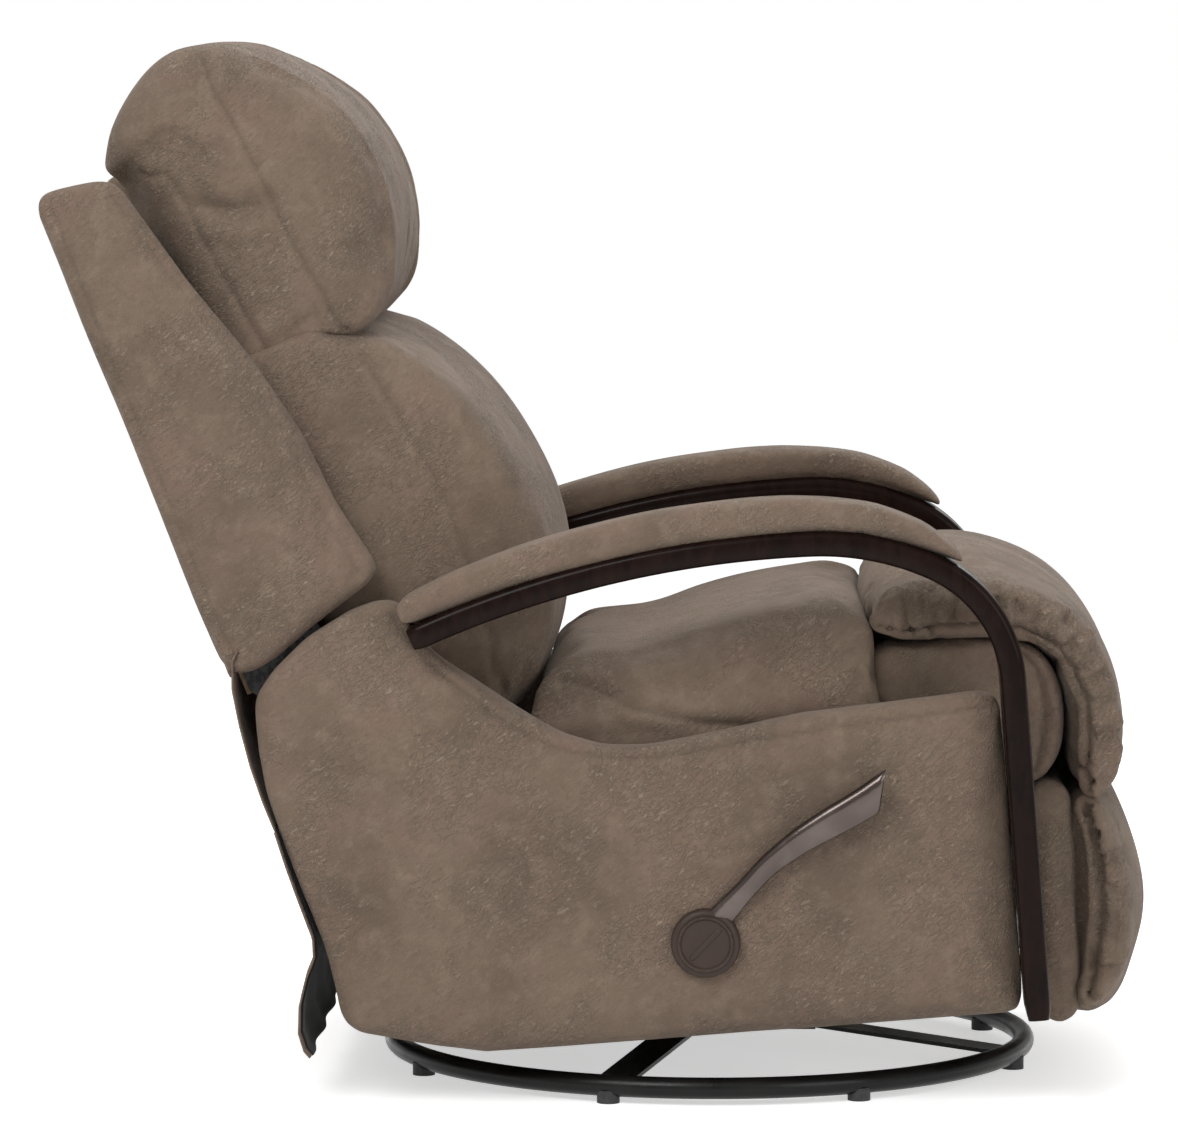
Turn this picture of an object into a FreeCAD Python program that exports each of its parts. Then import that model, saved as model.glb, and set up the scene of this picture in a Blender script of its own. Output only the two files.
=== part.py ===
import FreeCAD, Part
import math
import os

import Sketcher
from FreeCAD import Placement, Rotation, Vector

# A swivel glider recliner, in millimetres. +Z is up and the chair faces -Y. The sitter's right is -X.
# The origin is on the floor, below the middle of the whole chair.

os.makedirs("parts", exist_ok=True)
doc = FreeCAD.newDocument("SwivelGliderRecliner")
sheet = doc.addObject("Spreadsheet::Sheet", "Sizes")

# Driving dimensions: lengths in millimetres, angles in degrees.
# Heights and depths named "box" are square to the seat box, which is tipped back by box_tilt.
DRIVING = [
    ("swivel_back", -107, "swivel axis, along Y from the middle of the chair"),
    ("box_tilt", 4.6, "how far the seat box is tipped back"),
    ("back_lean", 21.8, "how far the back leans from upright"),
    ("slip", 0.05, "radial clearance of a pivot pin"),
    ("rest_gap", 0.3, "gap between pieces that slide past each other"),
    ("plate_thick", 4, "steel plate and link thickness"),
    ("ring_radius", 315.5, "base ring, centre of the tube"),
    ("ring_tube", 10.5, "base ring tube radius"),
    ("ring_height", 16.5, "centre of the ring tube above the floor"),
    ("foot_radius", 11, "glide foot radius"),
    ("foot_turn", 17.5, "first foot, from straight ahead"),
    ("bar_width", 36, "cross bar width"),
    ("bar_rise", 38, "top of the cross bars at the hub"),
    ("hub_radius", 75, "hub plate radius"),
    ("race_outer", 70, "swivel bearing outer radius"),
    ("race_inner", 50, "swivel bearing inner radius"),
    ("race_height", 2.8, "height of one bearing race"),
    ("swivel_pin", 12, "swivel pin radius"),
    ("frame_plate_width", 160, "swivel plate, side to side"),
    ("frame_plate_margin", 19, "swivel plate beyond the glide pivots"),
    ("glide_spread", 90, "glide pivots ahead of and behind the swivel axis"),
    ("glide_top", 215, "upper glide pivots above the floor"),
    ("glide_length", 110, "glide link, pivot to pivot"),
    ("glide_pin", 6, "glide pin radius"),
    ("member_width", 30, "cross member width"),
    ("member_height", 24, "cross member height"),
    ("member_wall", 3, "cross member wall"),
    ("upright_width", 30, "upright width"),
    ("upright_inside", 150, "inner face of the uprights"),
    ("link_gap", 2, "gap between an upright and its glide link"),
    ("panel_inside", 290, "inner face of the side panels"),
    ("panel_thick", 55, "side panel thickness"),
    ("panel_bottom", 67.5, "box height of the panel's lower edge"),
    ("panel_front", 308, "box depth of the panel's front edge"),
    ("pivot_depth", -236, "box depth of the recline pivot"),
    ("pivot_height", 310, "box height of the recline pivot"),
    ("shoulder_radius", 202, "panel shoulder, about the recline pivot"),
    ("rail_thick", 24, "arm rail section thickness"),
    ("rail_width", 64, "arm rail section width"),
    ("rail_corner", 8, "arm rail section corner radius"),
    ("rail_inside", 318, "inner face of the arm rail"),
    ("post_height", 391, "box height where the arm post starts to bend"),
    ("pad_thick", 31, "arm pad thickness over the rail"),
    ("pad_width", 80, "arm pad width"),
    ("cross_rail", 22, "wooden rail thickness"),
    ("front_rail_depth", 150, "box depth of the box front rail"),
    ("front_rail_height", 70, "height of the box front rail"),
    ("rear_rail_depth", -318, "box depth of the box rear rail"),
    ("rear_rail_bottom", 110, "box height under the rear rail"),
    ("rear_rail_height", 130, "height of the box rear rail"),
    ("seat_rail_width", 20, "seat side rail width"),
    ("seat_rail_bottom", 318, "box height under the seat rails"),
    ("seat_rail_height", 48, "seat rail height"),
    ("seat_rail_rear", -140, "box depth of the seat rails' rear end"),
    ("seat_rail_front", 290, "box depth of the seat rails' front end"),
    ("mount_inside", 258, "outer face of the seat rails, where the footrest mechanism bolts on"),
    ("layer_gap", 1.5, "gap between the link layers"),
    ("web_thick", 2, "webbing thickness"),
    ("cushion_half", 284, "seat cushion half width"),
    ("seat_crown", 12, "how far the seat cushion crowns"),
    ("travel", 45, "seat travel when the back reclines"),
    ("main_length", 224.4, "footrest main link, pivot to pivot"),
    ("main_pivot_depth", 240, "box depth of the main link pivot"),
    ("main_pivot_height", 300, "box height of the main link pivot"),
    ("main_angle", -101.3, "main link at rest, from straight ahead"),
    ("front_length", 152.1, "footrest front link, pivot to pivot"),
    ("front_angle", 43.7, "front link at rest, from straight ahead"),
    ("guide_depth", 280, "box depth of the guide link pivot"),
    ("guide_height", 330, "box height of the guide link pivot"),
    ("guide_reach", 45, "guide pivot along the front link"),
    ("control_reach", 196, "control pivot along the main link"),
    ("control_shift", 4, "control pivot ahead of the footrest pivot"),
    ("control_rise", 30, "control pivot above the footrest pivot"),
    ("main_half", 12, "main link half width"),
    ("slim_half", 7, "front and control link half width"),
    ("link_pin", 5, "link pin radius"),
    ("board_half", 262, "footrest board half width"),
    ("board_depth", 325, "box depth of the footrest board's back"),
    ("board_thick", 18, "footrest board thickness"),
    ("board_bottom", 52, "box height under the footrest board"),
    ("board_top", 260, "box height of the footrest board's top"),
    ("flap_depth", 352, "box depth of the chaise flap's turning line"),
    ("flap_height", 398, "box height of the chaise flap's turning line"),
    ("flap_roll", 71, "radius of the chaise pad's front roll"),
    ("handle_depth", 11.5, "box depth of the handle spindle"),
    ("handle_height", 162, "box height of the handle spindle"),
    ("hub_round", 32, "handle hub radius"),
    ("hub_thick", 14, "handle hub thickness"),
    ("rod_radius", 8, "drive rod radius"),
    ("wing_inside", 288, "inner face of the wings"),
    ("wing_thick", 42, "wing thickness"),
    ("back_face", -138, "rear face of the back"),
    ("back_cover", 7, "outside back panel thickness"),
    ("stile_inside", 253, "inner face of the back stiles"),
    ("stile_width", 28, "back stile width"),
    ("stile_depth", 68, "back stile depth"),
    ("stile_bottom", 160, "back stile lower end, up the back"),
    ("stile_top", 640, "back stile upper end, up the back"),
    ("lumbar_half", 278, "lumbar cushion half width"),
    ("crease", 437, "crease between lumbar cushion and head pillow, up the back"),
    ("pivot_pin", 8, "recline pin radius"),
    ("skirt_thick", 3, "rear skirt thickness"),
    ("seam_depth", 192, "box depth of the crease between seat cushion and footrest pad"),
    ("cushion_rear", -112, "box depth of the seat cushion's rear end"),
    ("cushion_thick", 111, "seat cushion thickness at its crown"),
    ("roll_thick", 39, "front roll padding over the seat rails"),
    ("roll_reach", 81, "front roll padding ahead of the seat rails"),
    ("roll_drop", 50, "front roll padding below the seat rails"),
    ("drape_rise", 17, "footrest pad crown above its own roll"),
    ("drape_drop", 149, "footrest pad's lower end below its turning line"),
    ("lumbar_depth", 207, "lumbar cushion's fullest point, ahead of the recline pivot"),
    ("pillow_depth", 180, "head pillow's fullest point, ahead of the recline pivot"),
    ("pillow_top", 765, "head pillow's top, up the back"),
    ("pillow_hang", 672, "lower edge of the head pillow behind the back"),
]

# Sizes that follow from the driving ones, as formulas in the same sheet.
FOLLOWING = [
    ("hub_top", "bar_rise + plate_thick", "top of the hub plate"),
    ("frame_bottom", "hub_top + 2 * race_height + rest_gap", "underside of the swivel plate"),
    ("frame_top", "frame_bottom + plate_thick", "top of the swivel plate"),
    ("upright_outside", "upright_inside + plate_thick", "outer face of the uprights"),
    ("glide_inside", "upright_outside + link_gap", "inner face of the glide links"),
    ("glide_low", "glide_top - glide_length", "lower glide pivots above the floor"),
    ("box_rail_inside", "glide_inside + plate_thick + link_gap", "inner face of the glide rails"),
    ("panel_outside", "panel_inside + panel_thick", "outer face of the side panels"),
    ("rail_outside", "rail_inside + rail_width", "outer face of the arm rail"),
    ("layer_one", "mount_inside + plate_thick + layer_gap", "inner face of the first link layer"),
    ("layer_two", "layer_one + plate_thick + layer_gap", "inner face of the second link layer"),
    ("layer_three", "layer_two + plate_thick + layer_gap", "inner face of the third link layer"),
    ("cushion_seat", "seat_rail_bottom + seat_rail_height + web_thick", "underside of the seat cushion"),
    ("seat_rail_inside", "mount_inside - seat_rail_width", "inner face of the seat rails"),
    ("roll_top", "cushion_seat + roll_thick", "top of the front roll"),
    ("drape_seat", "roll_top + 2 * rest_gap", "underside of the footrest pad"),
    ("lumbar_foot", "cushion_seat - pivot_height - 34", "lumbar cushion's lower end, up the back"),
    ("glide_front_depth", "glide_spread * cos(box_tilt) + glide_low * sin(box_tilt)", "front glide pivot"),
    ("glide_front_height", "glide_low * cos(box_tilt) - glide_spread * sin(box_tilt)", "front glide pivot"),
    ("glide_rear_depth", "glide_low * sin(box_tilt) - glide_spread * cos(box_tilt)", "rear glide pivot"),
    ("glide_rear_height", "glide_low * cos(box_tilt) + glide_spread * sin(box_tilt)", "rear glide pivot"),
    ("elbow_depth", "main_pivot_depth + main_length * cos(main_angle)", "main link's far pivot"),
    ("elbow_height", "main_pivot_height + main_length * sin(main_angle)", "main link's far pivot"),
    ("foot_depth", "elbow_depth + front_length * cos(front_angle)", "footrest pivot"),
    ("foot_height", "elbow_height + front_length * sin(front_angle)", "footrest pivot"),
]


def fill_sheet():
    rows = [(name, str(number), note) for name, number, note in DRIVING]
    rows += [(name, "=" + formula, note) for name, formula, note in FOLLOWING]
    for index, (name, content, note) in enumerate(rows, start=1):
        sheet.set("A%d" % index, note)
        sheet.set("B%d" % index, content)
        sheet.setAlias("B%d" % index, name)
    doc.recompute()


fill_sheet()


def size(name):
    return float(sheet.get(name))


def value(text):
    return float(sheet.evalExpression(text))


# Frames: the floor frame, the tipped seat box and the leaning back.
def swivel_frame(turn=0.0):
    return Placement(Vector(0, size("swivel_back"), 0), Rotation(Vector(0, 0, 1), turn))


def box_frame():
    return Placement(Vector(0, size("swivel_back"), 0), Rotation(Vector(1, 0, 0), -size("box_tilt")))


def recline_pivot():
    return box_frame().multVec(Vector(0, -size("pivot_depth"), size("pivot_height")))


def back_frame():
    return Placement(recline_pivot(), Rotation(Vector(1, 0, 0), -size("back_lean")))


def in_box(depth, height, side=0.0):
    return Vector(side, -depth, height)


# Parametric building blocks.
def bind(thing, **expressions):
    for prop, text in expressions.items():
        thing.setExpression(prop.replace("_", "."), text)
    return thing


def block(name, x, y, z):
    # Each of x, y and z is a pair of formulas: where it starts and how long it is.
    thing = doc.addObject("Part::Box", name)
    for axis, prop, pair in (("x", "Length", x), ("y", "Width", y), ("z", "Height", z)):
        thing.setExpression("Placement.Base." + axis, as_formula(pair[0]))
        thing.setExpression(prop, as_formula(pair[1]))
    return thing


def rod(name, radius, start, length, at=("0", "0"), along="z"):
    thing = doc.addObject("Part::Cylinder", name)
    thing.setExpression("Radius", as_formula(radius))
    thing.setExpression("Height", as_formula(length))
    spots = {"z": (at[0], at[1], start), "x": (start, at[0], at[1])}[along]
    if along == "x":
        thing.Placement = Placement(Vector(0, 0, 0), Rotation(Vector(0, 1, 0), 90))
    for axis, text in zip("xyz", spots):
        thing.setExpression("Placement.Base." + axis, as_formula(text))
    return thing


NAMES = [row[0] for row in DRIVING] + [row[0] for row in FOLLOWING]


def as_formula(text):
    words = []
    word = ""
    for letter in str(text) + " ":
        if letter.isalnum() or letter == "_":
            word += letter
        else:
            words.append("Sizes." + word if word in NAMES else word)
            words.append(letter)
            word = ""
    return "".join(words).strip()


def amount(text):
    return value(as_formula(text))


def boolean(kind, name, base, tool):
    thing = doc.addObject("Part::" + kind, name)
    thing.Base = base
    thing.Tool = tool
    return thing


def fuse(name, things):
    thing = doc.addObject("Part::MultiFuse", name)
    thing.Shapes = things
    return thing


def group(name, things):
    thing = doc.addObject("Part::Compound", name)
    thing.Links = things
    return thing


def mirrored(name, source):
    thing = doc.addObject("Part::Mirroring", name)
    thing.Source = source
    thing.Base = Vector(0, 0, 0)
    thing.Normal = Vector(1, 0, 0)
    return thing


def both_sides(name, source):
    return group(name, [source, mirrored(name + "_left", source)])


def origin_feature(body, role):
    return [item for item in body.Origin.OriginFeatures if item.Role == role][0]


def plate(name, outline, start, thick, holes=()):
    # A flat piece square to X. The outline is in box depth and height. A point may be followed by the
    # radius of the arc that leads to the next one: positive bulges to the left of the way round.
    body = doc.addObject("PartDesign::Body", name)
    sketch = body.newObject("Sketcher::SketchObject", name + "_outline")
    sketch.AttachmentSupport = [(origin_feature(body, "YZ_Plane"), "")]
    sketch.MapMode = "FlatFace"
    sketch.setExpression("AttachmentOffset.Base.z", as_formula(start))
    spots = [(as_formula("-(" + str(row[0]) + ")"), as_formula(row[1])) for row in outline]
    points = [Vector(value(a), value(b), 0) for a, b in spots]
    count = len(points)
    for index in range(count):
        here, there = points[index], points[(index + 1) % count]
        radius = amount(outline[index][2]) if len(outline[index]) > 2 else 0
        if radius:
            sketch.addGeometry(arc_between(here, there, radius), False)
        else:
            sketch.addGeometry(Part.LineSegment(here, there), False)
    for index in range(count):
        start_end = ends_of(sketch, index, points[index])
        for axis, text in zip(("DistanceX", "DistanceY"), spots[index]):
            number = sketch.addConstraint(sketcher_constraint(axis, index, start_end, value(text)))
            sketch.setExpression("Constraints[%d]" % number, text)
        before = (index - 1) % count
        its_end = ends_of(sketch, before, points[index])
        sketch.addConstraint(Sketcher.Constraint("Coincident", before, its_end, index, start_end))
        if len(outline[index]) > 2 and not is_half_circle(here_and_next(points, index), outline[index][2]):
            radius = as_formula("abs(" + str(outline[index][2]) + ")")
            number = sketch.addConstraint(Sketcher.Constraint("Radius", index, value(radius)))
            sketch.setExpression("Constraints[%d]" % number, radius)
    for spot in holes:
        middle = Vector(-amount(spot[0]), amount(spot[1]), 0)
        circle = sketch.addGeometry(Part.Circle(middle, Vector(0, 0, 1), amount(spot[2])), False)
        texts = (as_formula("-(" + str(spot[0]) + ")"), as_formula(spot[1]))
        for axis, text in zip(("DistanceX", "DistanceY"), texts):
            number = sketch.addConstraint(sketcher_constraint(axis, circle, 3, value(text)))
            sketch.setExpression("Constraints[%d]" % number, text)
        number = sketch.addConstraint(Sketcher.Constraint("Radius", circle, amount(spot[2])))
        sketch.setExpression("Constraints[%d]" % number, as_formula(spot[2]))
    pad = body.newObject("PartDesign::Pad", name + "_pad")
    pad.Profile = sketch
    pad.setExpression("Length", as_formula(thick))
    body.Tip = pad
    return body


def sketcher_constraint(axis, geometry, point, distance):
    return Sketcher.Constraint(axis, -1, 1, geometry, point, distance)


def here_and_next(points, index):
    return points[index], points[(index + 1) % len(points)]


def is_half_circle(ends, radius):
    # The solver leaves a half circle alone: its radius already follows from its two ends.
    return abs(ends[0].distanceToPoint(ends[1]) / 2 - abs(amount(radius))) < 0.01


def ends_of(sketch, index, spot):
    first = sketch.getPoint(index, 1)
    return 1 if first.distanceToPoint(spot) < 0.001 else 2


def arc_between(here, there, radius):
    chord = there - here
    half = chord.Length / 2
    middle = here + chord * 0.5
    left = Vector(-chord.y, chord.x, 0).normalize()
    reach = math.sqrt(max(radius * radius - half * half, 0))
    bulge = left * math.copysign(abs(radius) - reach, radius)
    return Part.Arc(here, middle + bulge, there)


PIECES = {}


def keep(name, thing, frame=None):
    if frame is not None:
        if thing.TypeId in ("Part::Box", "Part::Cylinder"):
            thing = group(name, [thing])
        thing.Placement = frame
    thing.Label = name
    PIECES[name] = thing
    return thing


def feature(name, shape, frame=None):
    thing = doc.addObject("Part::Feature", name)
    thing.Shape = shape
    return keep(name, thing, frame)


# Base: a bent tube ring on glide feet, with a pressed cross that carries the swivel.
def base():
    ring = doc.addObject("Part::Torus", "base_ring")
    bind(ring, Radius1="Sizes.ring_radius", Radius2="Sizes.ring_tube")
    bind(ring, Placement_Base_z="Sizes.ring_height", Placement_Base_y="Sizes.swivel_back")
    keep("base_ring", ring)
    feet = []
    for index in range(8):
        turn = 45 * index - size("foot_turn") - 90
        foot = doc.addObject("Part::Cylinder", "foot_%d" % index)
        bind(foot, Radius="Sizes.foot_radius", Height="Sizes.ring_height - 4")
        bind(foot, Placement_Base_x="Sizes.ring_radius * cos(%s)" % turn)
        bind(foot, Placement_Base_y="Sizes.swivel_back + Sizes.ring_radius * sin(%s)" % turn)
        feet.append(foot)
    keep("base_feet", boolean("Cut", "base_feet", group("feet", feet), ring))
    arm = doc.addObject("PartDesign::Body", "arm")
    sketch = arm.newObject("Sketcher::SketchObject", "arm_side")
    sketch.AttachmentSupport = [(origin_feature(arm, "XZ_Plane"), "")]
    sketch.MapMode = "FlatFace"
    low, high, thick = "ring_height - 2", "bar_rise - plate_thick", "plate_thick"
    spots = [("0", high), ("1.4 * hub_radius", high), ("ring_radius", low),
             ("ring_radius", low + " + " + thick), ("1.4 * hub_radius", "bar_rise"), ("0", "bar_rise")]
    polygon(sketch, spots)
    pad = arm.newObject("PartDesign::Pad", "arm_pad")
    pad.Profile = sketch
    pad.Midplane = True
    bind(pad, Length="Sizes.bar_width")
    doc.recompute()
    pattern = arm.newObject("PartDesign::PolarPattern", "four_arms")
    pattern.Originals = [pad]
    pattern.Axis = (origin_feature(arm, "Z_Axis"), [""])
    pattern.Angle = 360
    pattern.Occurrences = 4
    arm.Tip = pattern
    arm.Placement = swivel_frame(-size("foot_turn"))
    keep("base_cross_bars", boolean("Cut", "base_cross_bars", arm, ring))
    plate_disc = rod("hub_disc", "hub_radius", "bar_rise", "plate_thick")
    keep("base_hub_plate", plate_disc, None)
    bind(plate_disc, Placement_Base_y="Sizes.swivel_back")
    pin = rod("pin_shaft", "swivel_pin", "hub_top", "frame_top - hub_top + plate_thick")
    bind(pin, Placement_Base_y="Sizes.swivel_back")
    keep("swivel_pin", pin)
    keep("swivel_bearing_lower", race("swivel_bearing_lower", "hub_top"))


def race(name, start):
    outer = rod(name + "_outer", "race_outer", start, "race_height")
    inner = rod(name + "_inner", "race_inner", start, "race_height")
    for thing in (outer, inner):
        bind(thing, Placement_Base_y="Sizes.swivel_back")
    return boolean("Cut", name, outer, inner)


def polygon(sketch, spots):
    texts = [(as_formula(a), as_formula(b)) for a, b in spots]
    points = [Vector(value(a), value(b), 0) for a, b in texts]
    for index, point in enumerate(points):
        sketch.addGeometry(Part.LineSegment(point, points[(index + 1) % len(points)]), False)
    for index in range(len(points)):
        for axis, text in zip(("DistanceX", "DistanceY"), texts[index]):
            number = sketch.addConstraint(sketcher_constraint(axis, index, 1, value(text)))
            sketch.setExpression("Constraints[%d]" % number, text)
        sketch.addConstraint(Sketcher.Constraint("Coincident", (index - 1) % len(points), 2, index, 1))


# Swivel frame: turns on the base and holds the upper pivots of the glide.
def swivel_frame_pieces():
    deck = block("deck", ("-frame_plate_width / 2", "frame_plate_width"),
                 ("swivel_back - glide_spread - frame_plate_margin",
                  "2 * glide_spread + 2 * frame_plate_margin"),
                 ("frame_bottom", "plate_thick"))
    hole = rod("deck_hole", "swivel_pin + slip", "frame_bottom", "plate_thick", ("0", "swivel_back"))
    keep("swivel_top_plate", boolean("Cut", "swivel_top_plate", deck, hole))
    keep("swivel_bearing_upper", race("swivel_bearing_upper", "frame_bottom - race_height"))
    members = []
    uprights = []
    pins = []
    for label, sign in (("front", "-"), ("rear", "+")):
        middle = "swivel_back %s glide_spread" % sign
        outer = block(label + "_member_outer", ("-upright_inside", "2 * upright_inside"),
                      (middle + " - member_width / 2", "member_width"), ("frame_top", "member_height"))
        inner = block(label + "_member_inner", ("-upright_inside", "2 * upright_inside"),
                      (middle + " - member_width / 2 + member_wall", "member_width - 2 * member_wall"),
                      ("frame_top", "member_height - member_wall"))
        members.append(boolean("Cut", label + "_member", outer, inner))
        depth = "0 - (%s)" % middle
        half = "upright_width / 2"
        outline = [("%s - %s" % (depth, half), "frame_bottom"), ("%s + %s" % (depth, half), "frame_bottom"),
                   ("%s + %s" % (depth, half), "glide_top", half), ("%s - %s" % (depth, half), "glide_top")]
        side = plate(label + "_upright", outline, "upright_inside", "plate_thick",
                     [(depth, "glide_top", "glide_pin")])
        uprights += [side, mirrored(label + "_upright_left", side)]
        shaft = rod(label + "_pin_shaft", "glide_pin", "upright_inside - 3",
                    "glide_inside + plate_thick + 3.5 - upright_inside", (middle, "glide_top"), "x")
        head = rod(label + "_pin_head", "glide_pin + 4", "upright_inside - 4", "4",
                   (middle, "glide_top"), "x")
        clip = rod(label + "_pin_clip", "glide_pin + 3", "glide_inside + plate_thick + 0.4", "1",
                   (middle, "glide_top"), "x")
        pin = fuse(label + "_glide_pin", [shaft, head, clip])
        pins += [pin, mirrored(label + "_glide_pin_left", pin)]
    keep("glider_cross_members", group("glider_cross_members", members))
    keep("glider_uprights", group("glider_uprights", uprights))
    keep("glider_pivot_pins", group("glider_pivot_pins", pins))


# Glide links hang the seat box from the uprights.
def link(name, layer, spot, length, angle, half, holes, frame):
    outline = [("0", "0 - (%s)" % half), (length, "0 - (%s)" % half, half), (length, half), ("0", half, half)]
    body = plate(name, outline, layer, "plate_thick", [(reach, "0", radius) for reach, radius in holes])
    turn = Placement(in_box(spot[0], spot[1]), Rotation(Vector(1, 0, 0), -angle))
    body.Placement = frame.multiply(turn)
    return body


def glide_links():
    for label, sign in (("front", 1), ("rear", -1)):
        lower = "glide_pin + slip" if sign > 0 else "glide_pin + rest_gap"
        side = link(label + "_glide_link", "glide_inside", (sign * size("glide_spread"), size("glide_top")),
                    "glide_length", -90, "glide_pin + 8",
                    [("0", "glide_pin + slip"), ("glide_length", lower)], swivel_frame())
        keep(label + "_glide_links", both_sides(label + "_glide_links", side))


# Seat box: two upholstered side panels on wooden rails, with the bentwood arms.
def seat_box_pieces(arm):
    outline = [
        ("-206", "panel_bottom"), ("panel_front", "panel_bottom"),
        ("panel_front", "panel_bottom + 299", 14), ("panel_front - 14", "panel_bottom + 313"),
        ("117", "panel_bottom + 303.5"), ("21", "panel_bottom + 290.5", -202),
        ("-110", "panel_bottom + 301.5"), ("-191", "panel_bottom + 361.5"), ("-228", "pivot_height + 148"),
        ("pivot_depth - shoulder_radius * sin(5)", "pivot_height + shoulder_radius * cos(5)",
         "shoulder_radius"),
        ("pivot_depth - shoulder_radius * cos(34)", "pivot_height + shoulder_radius * sin(34)"),
        ("pivot_depth - 160", "pivot_height + 22"), ("pivot_depth - 138", "pivot_height - 60"),
        ("pivot_depth - 116", "pivot_height - 128"), ("pivot_depth - 104", "panel_bottom + 60"),
        ("pivot_depth - 90", "panel_bottom + 38"),
    ]
    left = plate("panel_left_body", outline, "panel_inside", "panel_thick")
    spindle_hole = rod("spindle_hole", "rod_radius + 5", "panel_inside - 1", "panel_thick + 2",
                       ("-handle_depth", "handle_height"), "x")
    bushing = boolean("Cut", "bushing",
                      rod("bushing_outer", "rod_radius + 5", "panel_inside", "panel_thick",
                          ("-handle_depth", "handle_height"), "x"),
                      rod("bushing_bore", "rod_radius + slip", "panel_inside", "panel_thick",
                          ("-handle_depth", "handle_height"), "x"))
    rebate = doc.addObject("Part::Feature", "arm_rebate")
    rebate.Shape = Part.makeCompound(list(arm))
    seated = boolean("Cut", "panel_with_rebate", left, rebate)
    bored = boolean("Cut", "bored_panel", seated, spindle_hole)
    keep("side_panel_left", bored, box_frame())
    keep("side_panel_right", mirrored("side_panel_right", bored))
    bushing.Placement = box_frame()
    keep("handle_bushings", both_sides("handle_bushings", bushing))
    wide = ("-panel_inside", "2 * panel_inside")
    keep("box_front_rail", block("box_front_rail", wide, ("-(front_rail_depth + cross_rail)", "cross_rail"),
                                 ("front_rail_height", "front_rail_height")), box_frame())
    keep("box_rear_rail", block("box_rear_rail", wide, ("-(rear_rail_depth + cross_rail)", "cross_rail"),
                                ("rear_rail_bottom", "rear_rail_height")), box_frame())


def in_plane(side, depth, height):
    return Vector(side, -depth, height)


def edge_path(side, start, steps):
    # A step is (end,) for a straight edge or (through, end) for an arc.
    edges = []
    here = start
    for step in steps:
        spots = [in_plane(side, *here)] + [in_plane(side, *spot) for spot in step]
        edges.append(Part.LineSegment(*spots).toShape() if len(step) == 1 else Part.Arc(*spots).toShape())
        here = step[-1]
    return edges


def closed(side, start, steps):
    return Part.Wire(edge_path(side, start, steps))


def crowned_solid(half, outline, draw):
    # A stuffed form: the outline is drawn in more and more towards its two ends.
    shares = (1.0, 0.95, 0.8, 0.45)
    insets = (1.0, 0.5, 0.16, 0.0)
    stations = [(-share, inset) for share, inset in zip(shares, insets)]
    stations += [(share, inset) for share, inset in zip(reversed(shares), reversed(insets))]
    wires = [closed(share * half, *outline(inset * draw)) for share, inset in stations]
    return Part.makeLoft(wires, True, True)


def crowned(name, half, outline, draw, frame):
    return feature(name, crowned_solid(half, outline, draw), frame)


def turning_path(start, heading, steps):
    # Follows arcs that turn to the left. Returns the steps for edge_path and each arc's centre.
    moves = []
    here = start
    for radius, turn in steps:
        centre = (here[0] - radius * math.sin(heading), here[1] + radius * math.cos(heading))
        spots = []
        for share in (0.5, 1.0):
            angle = heading - math.pi / 2 + turn * share
            spots.append((centre[0] + radius * math.cos(angle), centre[1] + radius * math.sin(angle)))
        moves.append(tuple(spots))
        here = spots[-1]
        heading += turn
    return moves, here, heading


ARM_BENDS = [(128, math.radians(62)), (260, math.radians(26)), (1000, math.radians(22.3))]


def arm_line(offset, bends):
    # The arm rail's centre line, moved outwards by the offset, from the top of the post.
    start = (size("panel_front") + size("rail_thick") / 2 + offset, size("post_height"))
    wider = [(radius + offset, turn) for radius, turn in bends]
    return start, turning_path(start, math.pi / 2, wider)


def arm_shapes():
    start, (moves, _, _) = arm_line(0, ARM_BENDS)
    foot = (start[0], size("panel_bottom"))
    middle = size("rail_inside") + size("rail_width") / 2
    spine = Part.Wire(edge_path(middle, foot, [(start,)] + moves))
    half, deep, corner = size("rail_width") / 2, size("rail_thick") / 2, size("rail_corner")
    flat = Part.makePlane(2 * half, 2 * deep, Vector(middle - half, -foot[0] - deep, foot[1]))
    profile = Part.Wire(rounded(flat, corner))
    bar = spine.makePipeShell([profile], True, False)
    offset = size("rail_thick") / 2
    bend, whole = ARM_BENDS[0]
    leaving = math.radians(58)
    under, turned = arm_line(offset, [(bend, leaving)])[1][1:]
    rest = [(bend + offset, whole - leaving)] + [(radius + offset, turn) for radius, turn in ARM_BENDS[1:]]
    beneath, back_end = turning_path(under, turned, rest)[:2]
    thick = size("pad_thick")

    def outline(drop):
        top_end = (back_end[0] - 2, back_end[1] + thick - 7 - drop)
        crest = (100, under[1] + thick + 37 - drop)
        steps = list(beneath)
        steps.append((top_end,))
        steps.append((((top_end[0] + crest[0]) / 2, (top_end[1] + crest[1]) / 2 + 17), crest))
        steps.append(((195, under[1] + thick + 24 - drop), (under[0] + 6, under[1] + 22 - drop / 2)))
        steps.append(((under[0] + 15, under[1] + 14 - drop / 3), (under[0] + 14, under[1] + 6)))
        steps.append((under,))
        return under, steps

    half_pad = size("pad_width") / 2
    pad = crowned_solid(half_pad, outline, 11)
    pad.translate(Vector(middle, 0, 0))
    return bar, Part.makeCompound([pad])


def arms(bar, pad):
    for name, shape in (("arm_rail", bar), ("arm_pad", pad)):
        left = feature(name + "_left", shape, box_frame())
        keep(name + "_right", mirrored(name + "_right", left))


def rounded(plane, corner):
    box = plane.extrude(Vector(0, 0, 1))
    upright = [edge for edge in box.Edges if abs(edge.tangentAt(edge.FirstParameter).z) > 0.9]
    filleted = box.makeFillet(corner, upright)
    low = min(filleted.Faces, key=lambda face: face.CenterOfMass.z)
    return low.OuterWire.Edges


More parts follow.
